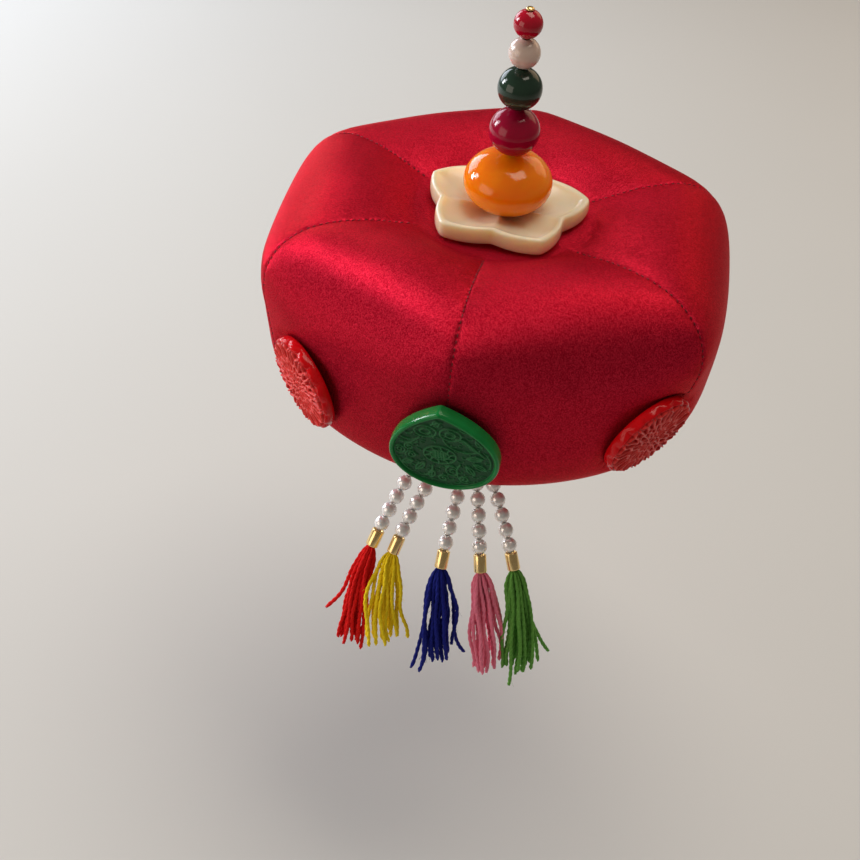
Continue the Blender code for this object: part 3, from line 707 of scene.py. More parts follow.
# %% Satin
# Silk satin, dyed crimson. It is set part metallic, as its floats mirror the light in the
# colour of the dye. The grain of the weave breaks its gloss up into a soft band, slanting
# lines a seventh of a millimetre apart hint at the twill, and thick and thin places in the
# silk make clouds of about a centimetre.
satin, tree, shader = new_material(
    "silk_satin",
    {
        "Roughness": 0.38,
        "Metallic": 0.72,
        "Specular IOR Level": 0.2,
        "Specular Tint": linear("#FF4458"),
        "Sheen Weight": 0.05,
        "Sheen Roughness": 0.35,
        "Sheen Tint": linear("#F02840"),
        "Anisotropic": 0.3,
    },
)
cloth_map = add_node(tree, "ShaderNodeUVMap", {"uv_map": "cloth"})
floats = add_node(
    tree, "ShaderNodeMapping", {"Scale": (3800.0, 3100.0, 1.0)}, {"Vector": cloth_map.outputs[0]}
)
thread = add_node(
    tree, "ShaderNodeTexVoronoi", {"Scale": 1.0, "Randomness": 1.0}, {"Vector": floats.outputs[0]}
)
crisp = add_node(
    tree,
    "ShaderNodeMapRange",
    {"From Min": 0.20, "From Max": 0.80},
    {"Value": thread.outputs["Color"]},
)
twill_turn = add_node(
    tree,
    "ShaderNodeMapping",
    {"Rotation": (0.0, 0.0, 0.9), "Scale": (2200.0, 2200.0, 1.0)},
    {"Vector": cloth_map.outputs[0]},
)
twill = add_node(
    tree,
    "ShaderNodeTexWave",
    {"wave_profile": "SIN", "Scale": 1.0, "Distortion": 2.5, "Detail": 1.0, "Detail Scale": 2.0},
    {"Vector": twill_turn.outputs[0]},
)
grain = add_node(
    tree, "ShaderNodeMix", {0: 0.15}, {2: crisp.outputs[0], 3: twill.outputs["Fac"]}
)
slub = add_node(
    tree,
    "ShaderNodeTexNoise",
    {"Scale": 90.0, "Detail": 3.0},
    {"Vector": cloth_map.outputs[0]},
)
dyed = add_node(
    tree,
    "ShaderNodeMix",
    {"data_type": "RGBA", 6: linear("#A40624"), 7: linear("#DC2A44")},
    {0: grain.outputs[0]},
)
cloudy = add_node(
    tree,
    "ShaderNodeMix",
    {"data_type": "RGBA", "blend_type": "MULTIPLY", 0: 0.15},
    {6: dyed.outputs[2], 7: slub.outputs[0]},
)
tree.links.new(cloudy.outputs[2], shader.inputs["Base Color"])
weave = add_node(
    tree,
    "ShaderNodeBump",
    {"Strength": 0.7, "Distance": 0.0002},
    {"Height": grain.outputs[0]},
)
tree.links.new(weave.outputs[0], shader.inputs["Normal"])
direction = add_node(tree, "ShaderNodeTangent", {"direction_type": "UV_MAP", "uv_map": "cloth"})
tree.links.new(direction.outputs[0], shader.inputs["Tangent"])
print("satin has", len(tree.nodes), "nodes")

# %% The crown as one padded piece
# The gores lie this far apart in the cloth map, so that no two share a place in it.
GORES_APART = 0.13

crown_mesh, column, row = flat_sheet("crown", crown.shape[1] - 1, crown.shape[0] - 1)
crown_mesh.vertices.foreach_set("co", crown[row, column].astype(np.float32).ravel())
loops = np.empty(len(crown_mesh.loops), int)
crown_mesh.loops.foreach_get("vertex_index", loops)
loops = loops.reshape(-1, 4)
face_gore = np.repeat((column[loops].min(axis=1) // GORE_COLUMNS)[:, None], 4, axis=1)
in_gore = column[loops] - face_gore * GORE_COLUMNS
stacked = np.stack([strip[1] - strip[3] / 2 for strip in strips])
cloth_u = stacked[face_gore, row[loops], in_gore] + face_gore * GORES_APART
steps = np.linalg.norm(np.diff(crown[:, HALF_COLUMNS], axis=0), axis=1)
cloth_v = np.concatenate([[0.0], np.cumsum(steps)])[row[loops]]
layer = crown_mesh.uv_layers.new(name="cloth")
layer.data.foreach_set("uv", np.stack([cloth_u, cloth_v], axis=2).astype(np.float32).ravel())
close_up(crown_mesh)
crown_piece = add_piece("crown", crown_mesh, satin, "silk", *[f"crown_gore_{n}" for n in range(1, 7)])

# %% [markdown]
# ## Thread in the seams
# From close up, the thread itself shows between one pit and the next as a short dark red
# stitch that lies in the groove. One thread that dives in and out would be truer, but all
# that shows of it is the short lengths on top. So a stitch is a tiny stretched ball, made
# once for each place with a matrix that carries it there.

# %% Stitches
STITCH_LIFT = 0.00006
STITCH_SIZE = (0.00058, 0.00015, 0.00015)
# Silk thread, spun and dyed red, and painted darker than the satin as painted shade of the
# stitch holes down in the groove: dull, with a faint sheen. The twist of the real one is
# about a tenth of a millimetre, drawn here at a quarter.
painted_shade_thread, tree, shader, twist = two_toned(
    "spun_silk_thread",
    "#38030A",
    "#6E0814",
    {"Scale": 4000.0, "Detail": 1.0},
    {"Roughness": 0.5, "Sheen Weight": 0.3, "Sheen Tint": linear("#FF6070")},
)
fibres = add_node(
    tree, "ShaderNodeBump", {"Strength": 0.4, "Distance": 0.0001}, {"Height": twist.outputs[0]}
)
tree.links.new(fibres.outputs[0], shader.inputs["Normal"])


def copies(name, template, matrices):
    """One mesh with a copy of a template at each matrix. The template is used up."""
    bm = bmesh.new()
    for matrix in matrices:
        part = template.copy()
        part.transform(matrix)
        bm.from_mesh(part)
        bpy.data.meshes.remove(part)
    bpy.data.meshes.remove(template)
    return finished(bm, name)


bm = bmesh.new()
bmesh.ops.create_uvsphere(bm, u_segments=8, v_segments=5, radius=1.0)
stitch = finished(bm, "stitch")
stitch_places = []
for seam in range(6):
    line = crown[:, seam * GORE_COLUMNS]
    middles = (seam_places[seam][1:] + seam_places[seam][:-1]) / 2
    for middle in middles:
        k = int(np.searchsorted(along[: len(hole_rows) + len(skin_at)], middle))
        run = Vector(line[k + 1] - line[k - 1]).normalized()
        up = Vector(normal[k, seam * GORE_COLUMNS])
        basis = Matrix((run, up.cross(run).normalized(), up)).transposed().to_4x4()
        place = Vector(line[k]) + up * STITCH_LIFT
        size = Matrix.Diagonal((*STITCH_SIZE, 1.0))
        stitch_places.append(Matrix.Translation(place) @ basis @ size)
add_piece("crown_stitches", copies("stitches", stitch, stitch_places), painted_shade_thread, "silk")

# %% [markdown]
# ## The flower plate
# The flower is carved from a pale, waxy stone and polished. It has five pointed petals, a
# thick wall, a softly rounded rim, and a dish in each petal with low ridges that run in
# from the notches. Light sinks into it, and its colour is painted paler at the thick rim as
# a painted glow, and warm at the heart as a painted glow of the light that comes down
# through the amber bead. An extruded and bevelled outline would give the wall, but not the dishes.
# So its outline is drawn once, and every row of the sheet is that outline at a share of
# its size.

# %% Petal outline
FLOWER_RADIUS = 0.0257
FLOWER_PLACE = Vector((0.0008, -0.0003, 0.0639))
FLOWER_TURN = math.radians(33.5 - 90.0)
PETAL_STEPS = 24
NOTCH_AT = 0.765
PETAL_BULGE = 0.055
CORNER_PASSES = 3


def petal_outline():
    """Places round five petals with bulging sides, one row of x and y each."""
    half = math.pi / 5
    share = np.arange(PETAL_STEPS) / PETAL_STEPS
    points = []
    for petal in range(5):
        for side in (-1, 1):
            s = (share if side < 0 else 1 - share)[:, None]
            notch = np.array([math.cos(half), side * math.sin(half)]) * NOTCH_AT
            run = np.array([1.0, 0.0]) - notch
            out = np.array([run[1], -run[0]]) / np.linalg.norm(run) * -side
            flat = notch + run * s + out * PETAL_BULGE * 4 * s * (1 - s)
            spin = 2 * half * petal
            turned = np.array([[math.cos(spin), math.sin(spin)], [-math.sin(spin), math.cos(spin)]])
            points.append(flat @ turned)
    outline = np.concatenate(points) * FLOWER_RADIUS
    for _ in range(CORNER_PASSES):
        outline = (np.roll(outline, 1, axis=0) + 2 * outline + np.roll(outline, -1, axis=0)) / 4
    return outline


# %% Flower plate
# The share of the outline's size and the height of each row, from the pin's hole under the
# plate, round the rim, and down the dish to the hole again.
FLOWER_PROFILE = (
    (0.045, 0.0),
    (0.50, 0.0),
    (0.93, 0.0),
    (0.965, 0.0002),
    (0.99, 0.0008),
    (1.0, 0.0020),
    (0.998, 0.0040),
    (0.990, 0.0050),
    (0.975, 0.0054),
    (0.950, 0.0055),
    (0.92, 0.0053),
    (0.87, 0.0046),
    (0.79, 0.0039),
    (0.66, 0.0033),
    (0.48, 0.0027),
    (0.30, 0.0020),
    (0.10, 0.0016),
    (0.045, 0.0015),
)
FLOWER_ROWS = 110
FIRST_TOP_ROW = 41
RIDGE_HEIGHT = 0.0011
DISH_DEPTH = 0.0003
FLOWER_HOLE = 0.0011


def flower_surface():
    """Rows from the pin's hole under the plate, round its rim and back to the hole."""
    outline = petal_outline()
    size = np.hypot(outline[:, 0], outline[:, 1])
    into_notch = np.clip((size.max() - size) / (size.max() - size.min()), 0, 1)
    steps = [math.dist(a, b) + 0.02 for a, b in zip(FLOWER_PROFILE, FLOWER_PROFILE[1:])]
    knots = np.concatenate([[0.0], np.cumsum(steps)])
    shape = spline(knots, FLOWER_PROFILE, np.linspace(0, knots[-1], FLOWER_ROWS))
    shape = np.vstack([shape, shape[:1]])
    scale = shape[:, :1]
    rise = shape[:, 1:]
    inside = np.clip((0.93 - scale) / 0.25, 0, 1) * np.clip(scale / 0.35, 0, 1) ** 1.5
    on_top = np.zeros((len(shape), 1))
    on_top[FIRST_TOP_ROW:-1] = 1.0
    ridge = (RIDGE_HEIGHT * into_notch**2 - DISH_DEPTH) * inside * on_top
    near_hole = np.clip((0.10 - scale) / 0.055, 0, 1)
    ring = outline / size[:, None] * FLOWER_HOLE
    flat = outline * scale[:, :, None] * (1 - near_hole[:, :, None]) + ring * near_hole[:, :, None]
    places = np.dstack([flat, rise + ridge])
    # Masks for painted glow: the thick rim is painted paler, and the heart under the amber bead warm.
    rim = np.clip((scale - 0.72) / 0.22, 0, 1) * np.ones(len(outline))
    heart = np.clip((0.62 - scale) / 0.35, 0, 1) * np.ones(len(outline))
    return [np.concatenate([a, a[:, :1]], axis=1) for a in (places, rim, heart)]


# %% Pale stone
# A waxy stone such as serpentine, ground and polished: light sinks in for some millimetres
# before it comes back, a thin soft gloss lies on top, and its clouds are 14 mm across.
stone, tree, shader = new_material(
    "polished_pale_stone",
    {
        "Roughness": 0.26,
        "IOR": 1.52,
        "Subsurface Weight": 0.9,
        "Subsurface Radius": (0.007, 0.0055, 0.004),
        "Subsurface Scale": 0.7,
        "Coat Weight": 0.35,
        "Coat Roughness": 0.12,
        "Coat Tint": linear("#E9E4FF"),
    },
)
where = add_node(tree, "ShaderNodeTexCoord")
cloud = add_node(
    tree,
    "ShaderNodeTexNoise",
    {"Scale": 70.0, "Detail": 4.0, "Roughness": 0.55, "Distortion": 0.8},
    {"Vector": where.outputs["Object"]},
)
# Painted glow: the rim is painted paler, as light that sinks into the thick stone comes back out.
rim_glow_mask = add_node(tree, "ShaderNodeAttribute", {"attribute_name": "rim"})
milky = add_node(
    tree,
    "ShaderNodeMix",
    {"data_type": "RGBA", 6: linear("#E2DAAE"), 7: linear("#F2EACA")},
    {0: cloud.outputs[0]},
)
painted_rim_glow = add_node(
    tree,
    "ShaderNodeMix",
    {"data_type": "RGBA", 7: linear("#F2E6BC")},
    {0: rim_glow_mask.outputs["Fac"], 6: milky.outputs[2]},
)
# Painted glow: the heart of the dish is painted warm, as light through the amber bead falls on it.
amber_glow_mask = add_node(tree, "ShaderNodeAttribute", {"attribute_name": "heart"})
painted_amber_glow = add_node(
    tree,
    "ShaderNodeMix",
    {"data_type": "RGBA", 7: linear("#FAD296")},
    {0: amber_glow_mask.outputs["Fac"], 6: painted_rim_glow.outputs[2]},
)
tree.links.new(painted_amber_glow.outputs[2], shader.inputs["Base Color"])
print("stone has", len(tree.nodes), "nodes")
flower_places, flower_rim, flower_heart = flower_surface()
flower_mesh = bent_sheet("flower_plate", flower_places, rim=flower_rim, heart=flower_heart)
flower_mesh.transform(Matrix.Translation(FLOWER_PLACE) @ Matrix.Rotation(FLOWER_TURN, 4, "Z"))
add_piece("flower_petals", flower_mesh, stone, "pale_stone", "flower_plate")

# %% [markdown]
# ## Turned pieces
# Beads, pearls, ferrules and the pin are all round, so one helper turns a profile about an
# axis. The profile is drawn as a row of points in a plane, and spin sweeps it round once.
# A squashed ball would be quicker, but it has no hole, and the hole is what lets a bead
# meet its pin or its thread cleanly.

# %% Lathe helpers
LATHE_WELD = 1e-7


def middle_of(node):
    """The middle of a solid's box."""
    low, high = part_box(node)
    return (low + high) / 2


def upright(axis):
    """A frame whose z runs along an axis."""
    return Vector((0.0, 0.0, 1.0)).rotation_difference(Vector(axis)).to_matrix().to_4x4()


def lathe(bm, profile, steps, matrix):
    """Turn a profile of radii and heights about z, and put it in place."""
    known = set(bm.verts)
    points = [bm.verts.new((radius, 0.0, height)) for radius, height in profile]
    edges = [bm.edges.new(pair) for pair in zip(points, points[1:])]
    if profile[0][0] > 0.0:
        edges.append(bm.edges.new((points[-1], points[0])))
    bmesh.ops.spin(
        bm,
        geom=points + edges,
        cent=(0.0, 0.0, 0.0),
        axis=(0.0, 0.0, 1.0),
        dvec=(0.0, 0.0, 0.0),
        angle=2 * math.pi,
        steps=steps,
        use_merge=True,
    )
    fresh = [vert for vert in bm.verts if vert not in known]
    bmesh.ops.remove_doubles(bm, verts=fresh, dist=LATHE_WELD)
    fresh = [vert for vert in bm.verts if vert not in known]
    bmesh.ops.transform(bm, matrix=matrix, verts=fresh)


def turned_mesh(name, profile, steps, matrix):
    """One turned piece as a mesh, with its faces outward."""
    bm = bmesh.new()
    lathe(bm, profile, steps, matrix)
    bmesh.ops.recalc_face_normals(bm, faces=bm.faces)
    return finished(bm, name)


def bead_profile(radius, half_height, bore, arcs):
    """A drilled bead, from one end of its bore round the outside to the other."""
    start = math.asin(bore / 2 / radius)
    soft = bore * 0.12
    top = half_height / math.cos(start)
    points = []
    for step in range(arcs + 1):
        angle = start + (math.pi - 2 * start) * step / arcs
        points.append((radius * math.sin(angle), top * math.cos(angle)))
    points[0] = (bore / 2 + soft, points[0][1])
    points[-1] = (bore / 2 + soft, points[-1][1])
    points.append((bore / 2, points[-1][1] + soft))
    points.append((bore / 2, points[0][1] - soft))
    return points


# %% [markdown]
# ## The finial
# Five beads stand on a pin: a broad amber one, dark red, near-black green, a pearl and a
# small red one. The amber is cloudy and lets light in, the others are glassy or lustrous.
# Each bead lies where its solid lies, and the pin's line runs through their middles.
# Clear glass with transmission would be the plain way to make them, but these beads are
# too deep in tone to see through, so a smooth opaque surface looks the same and is clean.

# %% Bead materials
def glassy(name, deep, pale, scale, settings):
    """A bead material whose colour swirls slowly between two tones."""
    swirl = {"Scale": scale, "Detail": 3.0, "Roughness": 0.6, "Distortion": 1.2}
    return two_toned(name, deep, pale, swirl, settings)[0]


# Pressed amber, or a resin made to look like it: small sharp glints on top, and a glow from
# deep inside, since red light travels more than a centimetre in it. Its clouds are about
# 22 mm across.
amber = glassy(
    "pressed_amber",
    "#FF6600",
    "#FF9C12",
    45.0,
    {
        "Roughness": 0.08,
        "IOR": 1.54,
        "Specular IOR Level": 0.34,
        "Subsurface Weight": 1.0,
        "Subsurface Radius": (0.014, 0.006, 0.0015),
        "Subsurface Scale": 1.2,
    },
)
# Dark red glass, fire-polished: the glint is a little wider than the amber's.
dark_red_glass = glassy(
    "dark_red_glass", "#8A0228", "#B00C38", 60.0, {"Roughness": 0.13, "Specular IOR Level": 0.3}
)
# Dark green glass, as good as black until light catches it.
green_glass = glassy(
    "dark_green_glass", "#182A20", "#2A4434", 60.0, {"Roughness": 0.12, "Specular IOR Level": 0.4}
)
# A glass bead dipped in pearl essence: rosy grey, with a blurred shine under a thin gloss.
finial_pearl = glassy(
    "finial_pearl_lustre",
    "#C8AC9C",
    "#EAD6CA",
    90.0,
    {
        "Roughness": 0.24,
        "Coat Weight": 0.5,
        "Coat Roughness": 0.15,
        "Subsurface Weight": 0.3,
        "Subsurface Radius": (0.002, 0.0015, 0.001),
    },
)
# Red glass, fire-polished, a shade lighter than the dark one as the bead is thinner.
small_red_glass = glassy(
    "red_glass", "#9A0420", "#C00C2C", 60.0, {"Roughness": 0.12, "Specular IOR Level": 0.45}
)
# Brass, stamped and gold plated: it mirrors the room softly in its own yellow, with
# patches of about 3 mm where handling has worn the plate.
gold_plate, *_ = two_toned(
    "gold_plated_brass",
    "#F0C87C",
    "#FFE6AE",
    {"Scale": 300.0, "Detail": 2.0},
    {"Metallic": 1.0, "Roughness": 0.24},
)
for finish in (amber, dark_red_glass, green_glass, finial_pearl, small_red_glass, gold_plate):
    print("finish", finish.name)

# %% Finial beads and pin
BEAD_BORE = 0.0021
BEAD_ARCS = 32
BEAD_STEPS = 64
PIN_HEAD_ABOVE = 0.0042
PIN_STEPS = 24
finial_axis = (middle_of("finial_small_red") - middle_of("finial_amber")).normalized()
# Each bead: its radius, half its height along the pin, and its material.
BEADS = (
    ("amber", 0.0132, 0.0092, amber),
    ("dark_red", 0.0074, 0.0071, dark_red_glass),
    ("green", 0.0064, 0.00614, green_glass),
    ("pearl", 0.0045, 0.00432, finial_pearl),
    ("small_red", 0.0041, 0.00394, small_red_glass),
)
for name, radius, half_height, material in BEADS:
    matrix = Matrix.Translation(middle_of(f"finial_{name}")) @ upright(finial_axis)
    profile = bead_profile(radius, half_height, BEAD_BORE, BEAD_ARCS)
    mesh = turned_mesh(name, profile, BEAD_STEPS, matrix)
    add_piece(f"bead_{name}", mesh, material, f"finial_{name}", f"finial_{name}")

pin_top = middle_of("finial_small_red") + finial_axis * PIN_HEAD_ABOVE
pin_profile = [
    (0.0, 0.0007),
    (0.0005, 0.00066),
    (0.0009, 0.00052),
    (0.00115, 0.0003),
    (0.0012, 0.0001),
    (0.0011, -0.0001),
    (0.0007, -0.0002),
    (0.0007, -0.0766),
    (0.0004, -0.0770),
    (0.0, -0.0771),
]
pin_frame = Matrix.Translation(pin_top) @ upright(finial_axis)
pin_mesh = turned_mesh("pin", pin_profile, PIN_STEPS, pin_frame)
add_piece("pin", pin_mesh, gold_plate, "brass", "finial_pin")

# %% [markdown]
# ## Carved plaques
# The front plaque is a green drop with a raised rim and scrollwork round a rosette. Two
# red ones at the sides have a lobed edge and petals. All three are cast from carved
# moulds, so their lines are soft ridges on a sunk face. Sculpting by hand is the usual way
# to make such relief, but it can't be written down. Here a table of short strokes says where
# each ridge runs, and the sheet rises wherever a stroke is near.

# %% Stroke helpers
def arc(cx, cy, rx, ry, start, finish, steps=26):
    """A piece of an ellipse, in millimetres, between two angles in degrees."""
    angle = np.radians(np.linspace(start, finish, steps))
    return np.column_stack([cx + rx * np.cos(angle), cy + ry * np.sin(angle)])


def scroll(cx, cy, radius, start, turns, tight=0.18, steps=34):
    """A spiral that winds in to its middle. Negative turns wind the other way."""
    share = np.linspace(0.0, 1.0, steps)
    angle = np.radians(start) + share * turns * 2 * math.pi
    size = radius * (1 - share * (1 - tight))
    return np.column_stack([cx + size * np.cos(angle), cy + size * np.sin(angle)])


def bow(x0, y0, x1, y1, bend, steps=12):
    """A line from one point to another that bows to its left by bend."""
    share = np.linspace(0.0, 1.0, steps)[:, None]
    start, finish = np.array([x0, y0]), np.array([x1, y1])
    run = finish - start
    side = np.array([-run[1], run[0]]) / max(np.linalg.norm(run), 1e-6)
    return start + run * share + side * bend * 4 * share * (1 - share)


def relief(x, y, strokes):
    """Height in millimetres at each point for strokes of line, half width and height."""
    height = np.zeros(x.shape)
    for line, half_width, top in strokes:
        low = line.min(axis=0) - half_width
        high = line.max(axis=0) + half_width
        near = (x > low[0]) & (x < high[0]) & (y > low[1]) & (y < high[1])
        if not near.any():
            continue
        px, py = x[near][:, None], y[near][:, None]
        a, b = line[:-1], line[1:]
        run = b - a
        size = np.maximum((run**2).sum(axis=1), 1e-9)
        share = np.clip(((px - a[:, 0]) * run[:, 0] + (py - a[:, 1]) * run[:, 1]) / size, 0, 1)
        gap = np.hypot(px - a[:, 0] - share * run[:, 0], py - a[:, 1] - share * run[:, 1])
        away = gap.min(axis=1) / half_width
        dome = top * np.sqrt(np.clip(1 - away**2, 0, 1))
        height[near] = np.maximum(height[near], dome)
    return height


# %% Strokes of the front plaque
# Half the width and the height of a ridge, in millimetres, and those of the fine curls that
# fill the ground between the ridges. Each curl lies a golden turn on from the one before,
# which spreads them evenly.
FRONT_RIDGE = (0.33, 0.46)
FRONT_CURL = (0.22, 0.28)
CURLS = 110
GOLDEN_TURN = 2.4


def leaf(cx, cy, length, width, angle):
    """Two sides and a vein of a leaf that points at an angle, in degrees."""
    turn = math.radians(angle)
    tip = np.array([math.cos(turn), math.sin(turn)]) * length / 2
    a = (cx - tip[0], cy - tip[1])
    b = (cx + tip[0], cy + tip[1])
    return [bow(*a, *b, width / 2), bow(*a, *b, -width / 2), bow(*a, *b, 0.0)]


def front_strokes():
    """Scrollwork round a rosette, drawn in millimetres on the plaque's face."""
    lines = []
    lines += [arc(-1.0, 0.8, 4.6, 3.7, 0, 360, 60), arc(-1.0, 0.8, 2.7, 1.9, 0, 360, 40)]
    for angle in range(0, 360, 36):
        turn = math.radians(angle)
        lines.append(
            bow(
                -1.0 + 2.9 * math.cos(turn),
                0.8 + 2.1 * math.sin(turn),
                -1.0 + 4.4 * math.cos(turn + 0.2),
                0.8 + 3.5 * math.sin(turn + 0.2),
                0.2,
            )
        )
    for step in (-1.2, -0.4, 0.4, 1.2):
        lines.append(bow(-1.0 + step, -0.6, -1.0 + step, 2.2, 0.1))
        lines.append(bow(-3.0, 0.8 + step * 0.8, 1.0, 0.8 + step * 0.8, 0.1))
    lines += [arc(-4.4, 10.6, 1.5, 1.1, 0, 360), arc(-4.4, 10.6, 3.1, 2.3, 0, 360, 40)]
    lines += [arc(2.7, 10.2, 1.4, 1.2, 0, 360), arc(2.7, 10.2, 3.0, 2.5, 0, 360, 40)]
    for step in range(7):
        near_end = (4.2 + step * 0.9, 8.6 - step * 0.75)
        far_end = (7.2 + step * 0.75, 7.9 - step * 0.95)
        lines.append(bow(*near_end, *far_end, 0.5))
    lines.append(bow(0.4, 8.0, 6.4, 3.4, -1.4))
    lines.append(bow(6.4, 3.4, 10.6, 4.8, -0.6))
    lines += [scroll(-9.7, 2.9, 1.6, 40, 1.6), scroll(-9.4, -0.6, 1.7, 200, -1.6)]
    lines += [arc(-12.6, 1.2, 1.5, 1.6, 0, 360), arc(-12.6, 1.2, 0.6, 0.7, 0, 360)]
    lines += [bow(-7.2, 6.8, -12.0, 5.0, 1.0), bow(-6.2, 7.6, -11.6, 7.0, 1.2)]
    lines += [bow(-7.0, 5.4, -9.6, 4.8, 0.4), bow(-8.0, 9.4, -10.6, 9.2, 0.6)]
    for cx, cy, size, angle in (
        (9.0, 1.0, 4.6, 10),
        (10.2, -2.4, 4.0, -30),
        (7.4, -4.6, 4.2, -60),
        (-7.2, -5.4, 4.4, 230),
        (-10.8, -4.0, 3.6, 200),
        (-4.0, -8.2, 3.6, 255),
        (6.6, 13.0, 2.8, 320),
        (10.6, 8.0, 3.0, 300),
    ):
        lines += leaf(cx, cy, size, 1.8, angle)
    lines += [scroll(2.2, -6.0, 2.2, 120, 1.5), scroll(5.4, -9.0, 1.7, 300, -1.5)]
    lines += [scroll(-0.8, -9.6, 1.6, 30, 1.4), bow(0.2, -4.0, 3.4, -4.4, 0.6)]
    lines += [bow(4.6, -2.6, 4.4, -10.0, -1.2), bow(-3.6, -4.4, -6.0, -9.2, 0.8)]
    lines += [scroll(-1.2, 14.4, 1.3, 250, 1.3), bow(-2.6, 13.4, 0.6, 14.8, 0.5)]
    lines += [bow(12.6, 3.2, 13.0, -2.6, 0.6), bow(-13.0, -3.0, -10.6, -7.6, -0.5)]
    strokes = [(line, *FRONT_RIDGE) for line in lines]
    rng = np.random.default_rng(5)
    for k in range(CURLS):
        out = 13.4 * math.sqrt((k + 0.5) / CURLS)
        x = out * math.cos(GOLDEN_TURN * k) * 1.05
        y = out * math.sin(GOLDEN_TURN * k)
        if math.hypot(x + 1.0, y - 0.8) > 5.2:
            turn = rng.uniform(0, 360)
            curl = arc(x, y, 0.85, 0.5, turn, turn + rng.uniform(150, 250), 8)
            strokes.append((curl, *FRONT_CURL))
    return strokes


# %% Strokes of the side plaques
LOBES = 16
DISC_RIDGE = (0.42, 0.85)


def disc_strokes(turn):
    """Three rings of petals round a heart. The outer ones fill the lobes of the edge."""
    lines = []
    rings = (
        (11.2, LOBES, 6.6, 4.6, 0.0),
        (7.0, 11, 4.8, 3.6, turn),
        (3.7, 7, 3.4, 2.8, turn + 20),
    )
    for out, count, length, width, start in rings:
        for k in range(count):
            angle = 360.0 * k / count + start
            a = math.radians(angle)
            lines += leaf(out * math.cos(a), out * math.sin(a), length, width, angle)
    lines.append(arc(0, 0, 1.2, 1.2, 0, 360))
    return [(line, *DISC_RIDGE) for line in lines]


# %% Plaque outlines
AROUND = 400
ROUND_ANGLE = 2 * math.pi * np.arange(AROUND) / AROUND
DROP_PASSES = 6
LOBE_DEPTH = 0.0008


def drop_outline():
    """A round plaque that is drawn up to a point."""
    high = np.cos(ROUND_ANGLE) * FRONT_FOOT
    lift = (FRONT_TIP - FRONT_FOOT) * (1 - np.abs(np.sin(ROUND_ANGLE))) ** 1.5
    high = np.where(np.cos(ROUND_ANGLE) > 0, high + lift, high)
    outline = np.column_stack([np.sin(ROUND_ANGLE) * FRONT_HALF_WIDTH, high])
    for _ in range(DROP_PASSES):
        outline = (np.roll(outline, 1, axis=0) + 2 * outline + np.roll(outline, -1, axis=0)) / 4
    return outline


def lobed_outline():
    """A round plaque whose edge swells into a lobe for each outer petal."""
    size = DISC_RADIUS - LOBE_DEPTH * (1 - np.abs(np.cos(ROUND_ANGLE * LOBES / 2)))
    return np.column_stack([np.sin(ROUND_ANGLE), np.cos(ROUND_ANGLE)]) * size[:, None]


# %% Plaque surface
# The rows of a plaque's edge: a share of the outline's size, and how far below the rim the
# front lies, in sunk depths, or how high above the seat the back lies, in thicknesses.
RAISED_RIM = (
    (0.908, 0.8),
    (0.920, 0.3),
    (0.932, 0.05),
    (0.945, 0.0),
    (0.965, 0.0),
    (0.981, 0.15),
    (0.993, 0.5),
    (1.0, 1.2),
)
SOFT_EDGE = ((0.945, 0.6), (0.965, 1.1), (0.982, 2.0), (0.994, 3.4), (1.0, 5.2))
BACK_EDGE = (
    (1.0, 0.35),
    (0.997, 0.16),
    (0.99, 0.05),
    (0.98, 0.0),
    (0.90, 0.0),
    (0.45, 0.0),
    (0.0, 0.0),
)
FACE_ROWS = 84
VALLEY_DEPTH = 0.0005
# The share of the ridges' light tone that a disc's walls and back take: a painted highlight of the
# gloss on the lobes.
WALL_PAINTED_HIGHLIGHT = 0.35


def plaque_surface(outline, thickness, edge, sunk, strokes, lobes, matrix):
    """Rows from the face's middle to the back's, with how carved and how near the rim."""
    inner = edge[0][0] - 0.006
    face = np.linspace(0.0, inner, FACE_ROWS) ** 0.9 * inner**0.1
    scale = np.array([*face, *[s for s, _ in edge], *[s for s, _ in BACK_EDGE]])[:, None]
    drop = np.array([1.0] * len(face) + [d for _, d in edge])[:, None] * sunk
    foot = np.array([h for _, h in BACK_EDGE])[:, None] * thickness
    rise = np.vstack([thickness - drop, foot]) * np.ones(AROUND)
    calm = outline / np.hypot(outline[:, :1], outline[:, 1:]) * np.hypot(*outline.T).mean()
    calm = calm * lobes + outline * (1 - lobes)
    low = np.clip(1.5 * (thickness - rise) / thickness, 0, 1)[:, :, None]
    flat = (outline * (1 - low) + calm * low) * scale[:, :, None]
    count = len(face)
    carved = relief(flat[:count, :, 0] * 1000, flat[:count, :, 1] * 1000, strokes)
    carved *= np.clip((inner - scale[:count]) / 0.03, 0, 1)
    rise[:count] += carved / 1000
    valley = (1 - np.abs(np.cos(ROUND_ANGLE * LOBES / 2))) * lobes
    near_edge = np.clip((scale - 0.62) / 0.38, 0, 1) ** 1.5
    rise -= VALLEY_DEPTH * valley * near_edge * (rise > thickness * 0.5)
    # The walls and back take part of the ridges' light tone, as a painted highlight.
    rest = np.full((len(scale) - count, AROUND), WALL_PAINTED_HIGHLIGHT * lobes)
    high = np.vstack([carved / carved.max(), rest])
    rim = np.clip((scale - inner + 0.01) / 0.02, 0, 1) * np.ones(AROUND)
    places = np.dstack([flat, rise])
    places, high, rim = (np.concatenate([a, a[:, :1]], axis=1) for a in (places, high, rim))
    turn = np.array(matrix.to_3x3())
    return places @ turn.T + np.array(matrix.translation), high, rim


# %% Cast resin
# Resin, cast in a mould and hand rubbed: waxy, with a little light inside. The ground is
# painted darker than the ridges, as painted shade in the hollows, and the ridges lighter,
# as painted highlight. The rim is rubbed smooth by hands, so it shines most, and its tone
# is partly a painted glow too. The tone drifts over 8 mm, and the grit of the mould is
# drawn at 0.7 mm, some times its real size, so that it shows.
RIM_GLOSS = 0.4


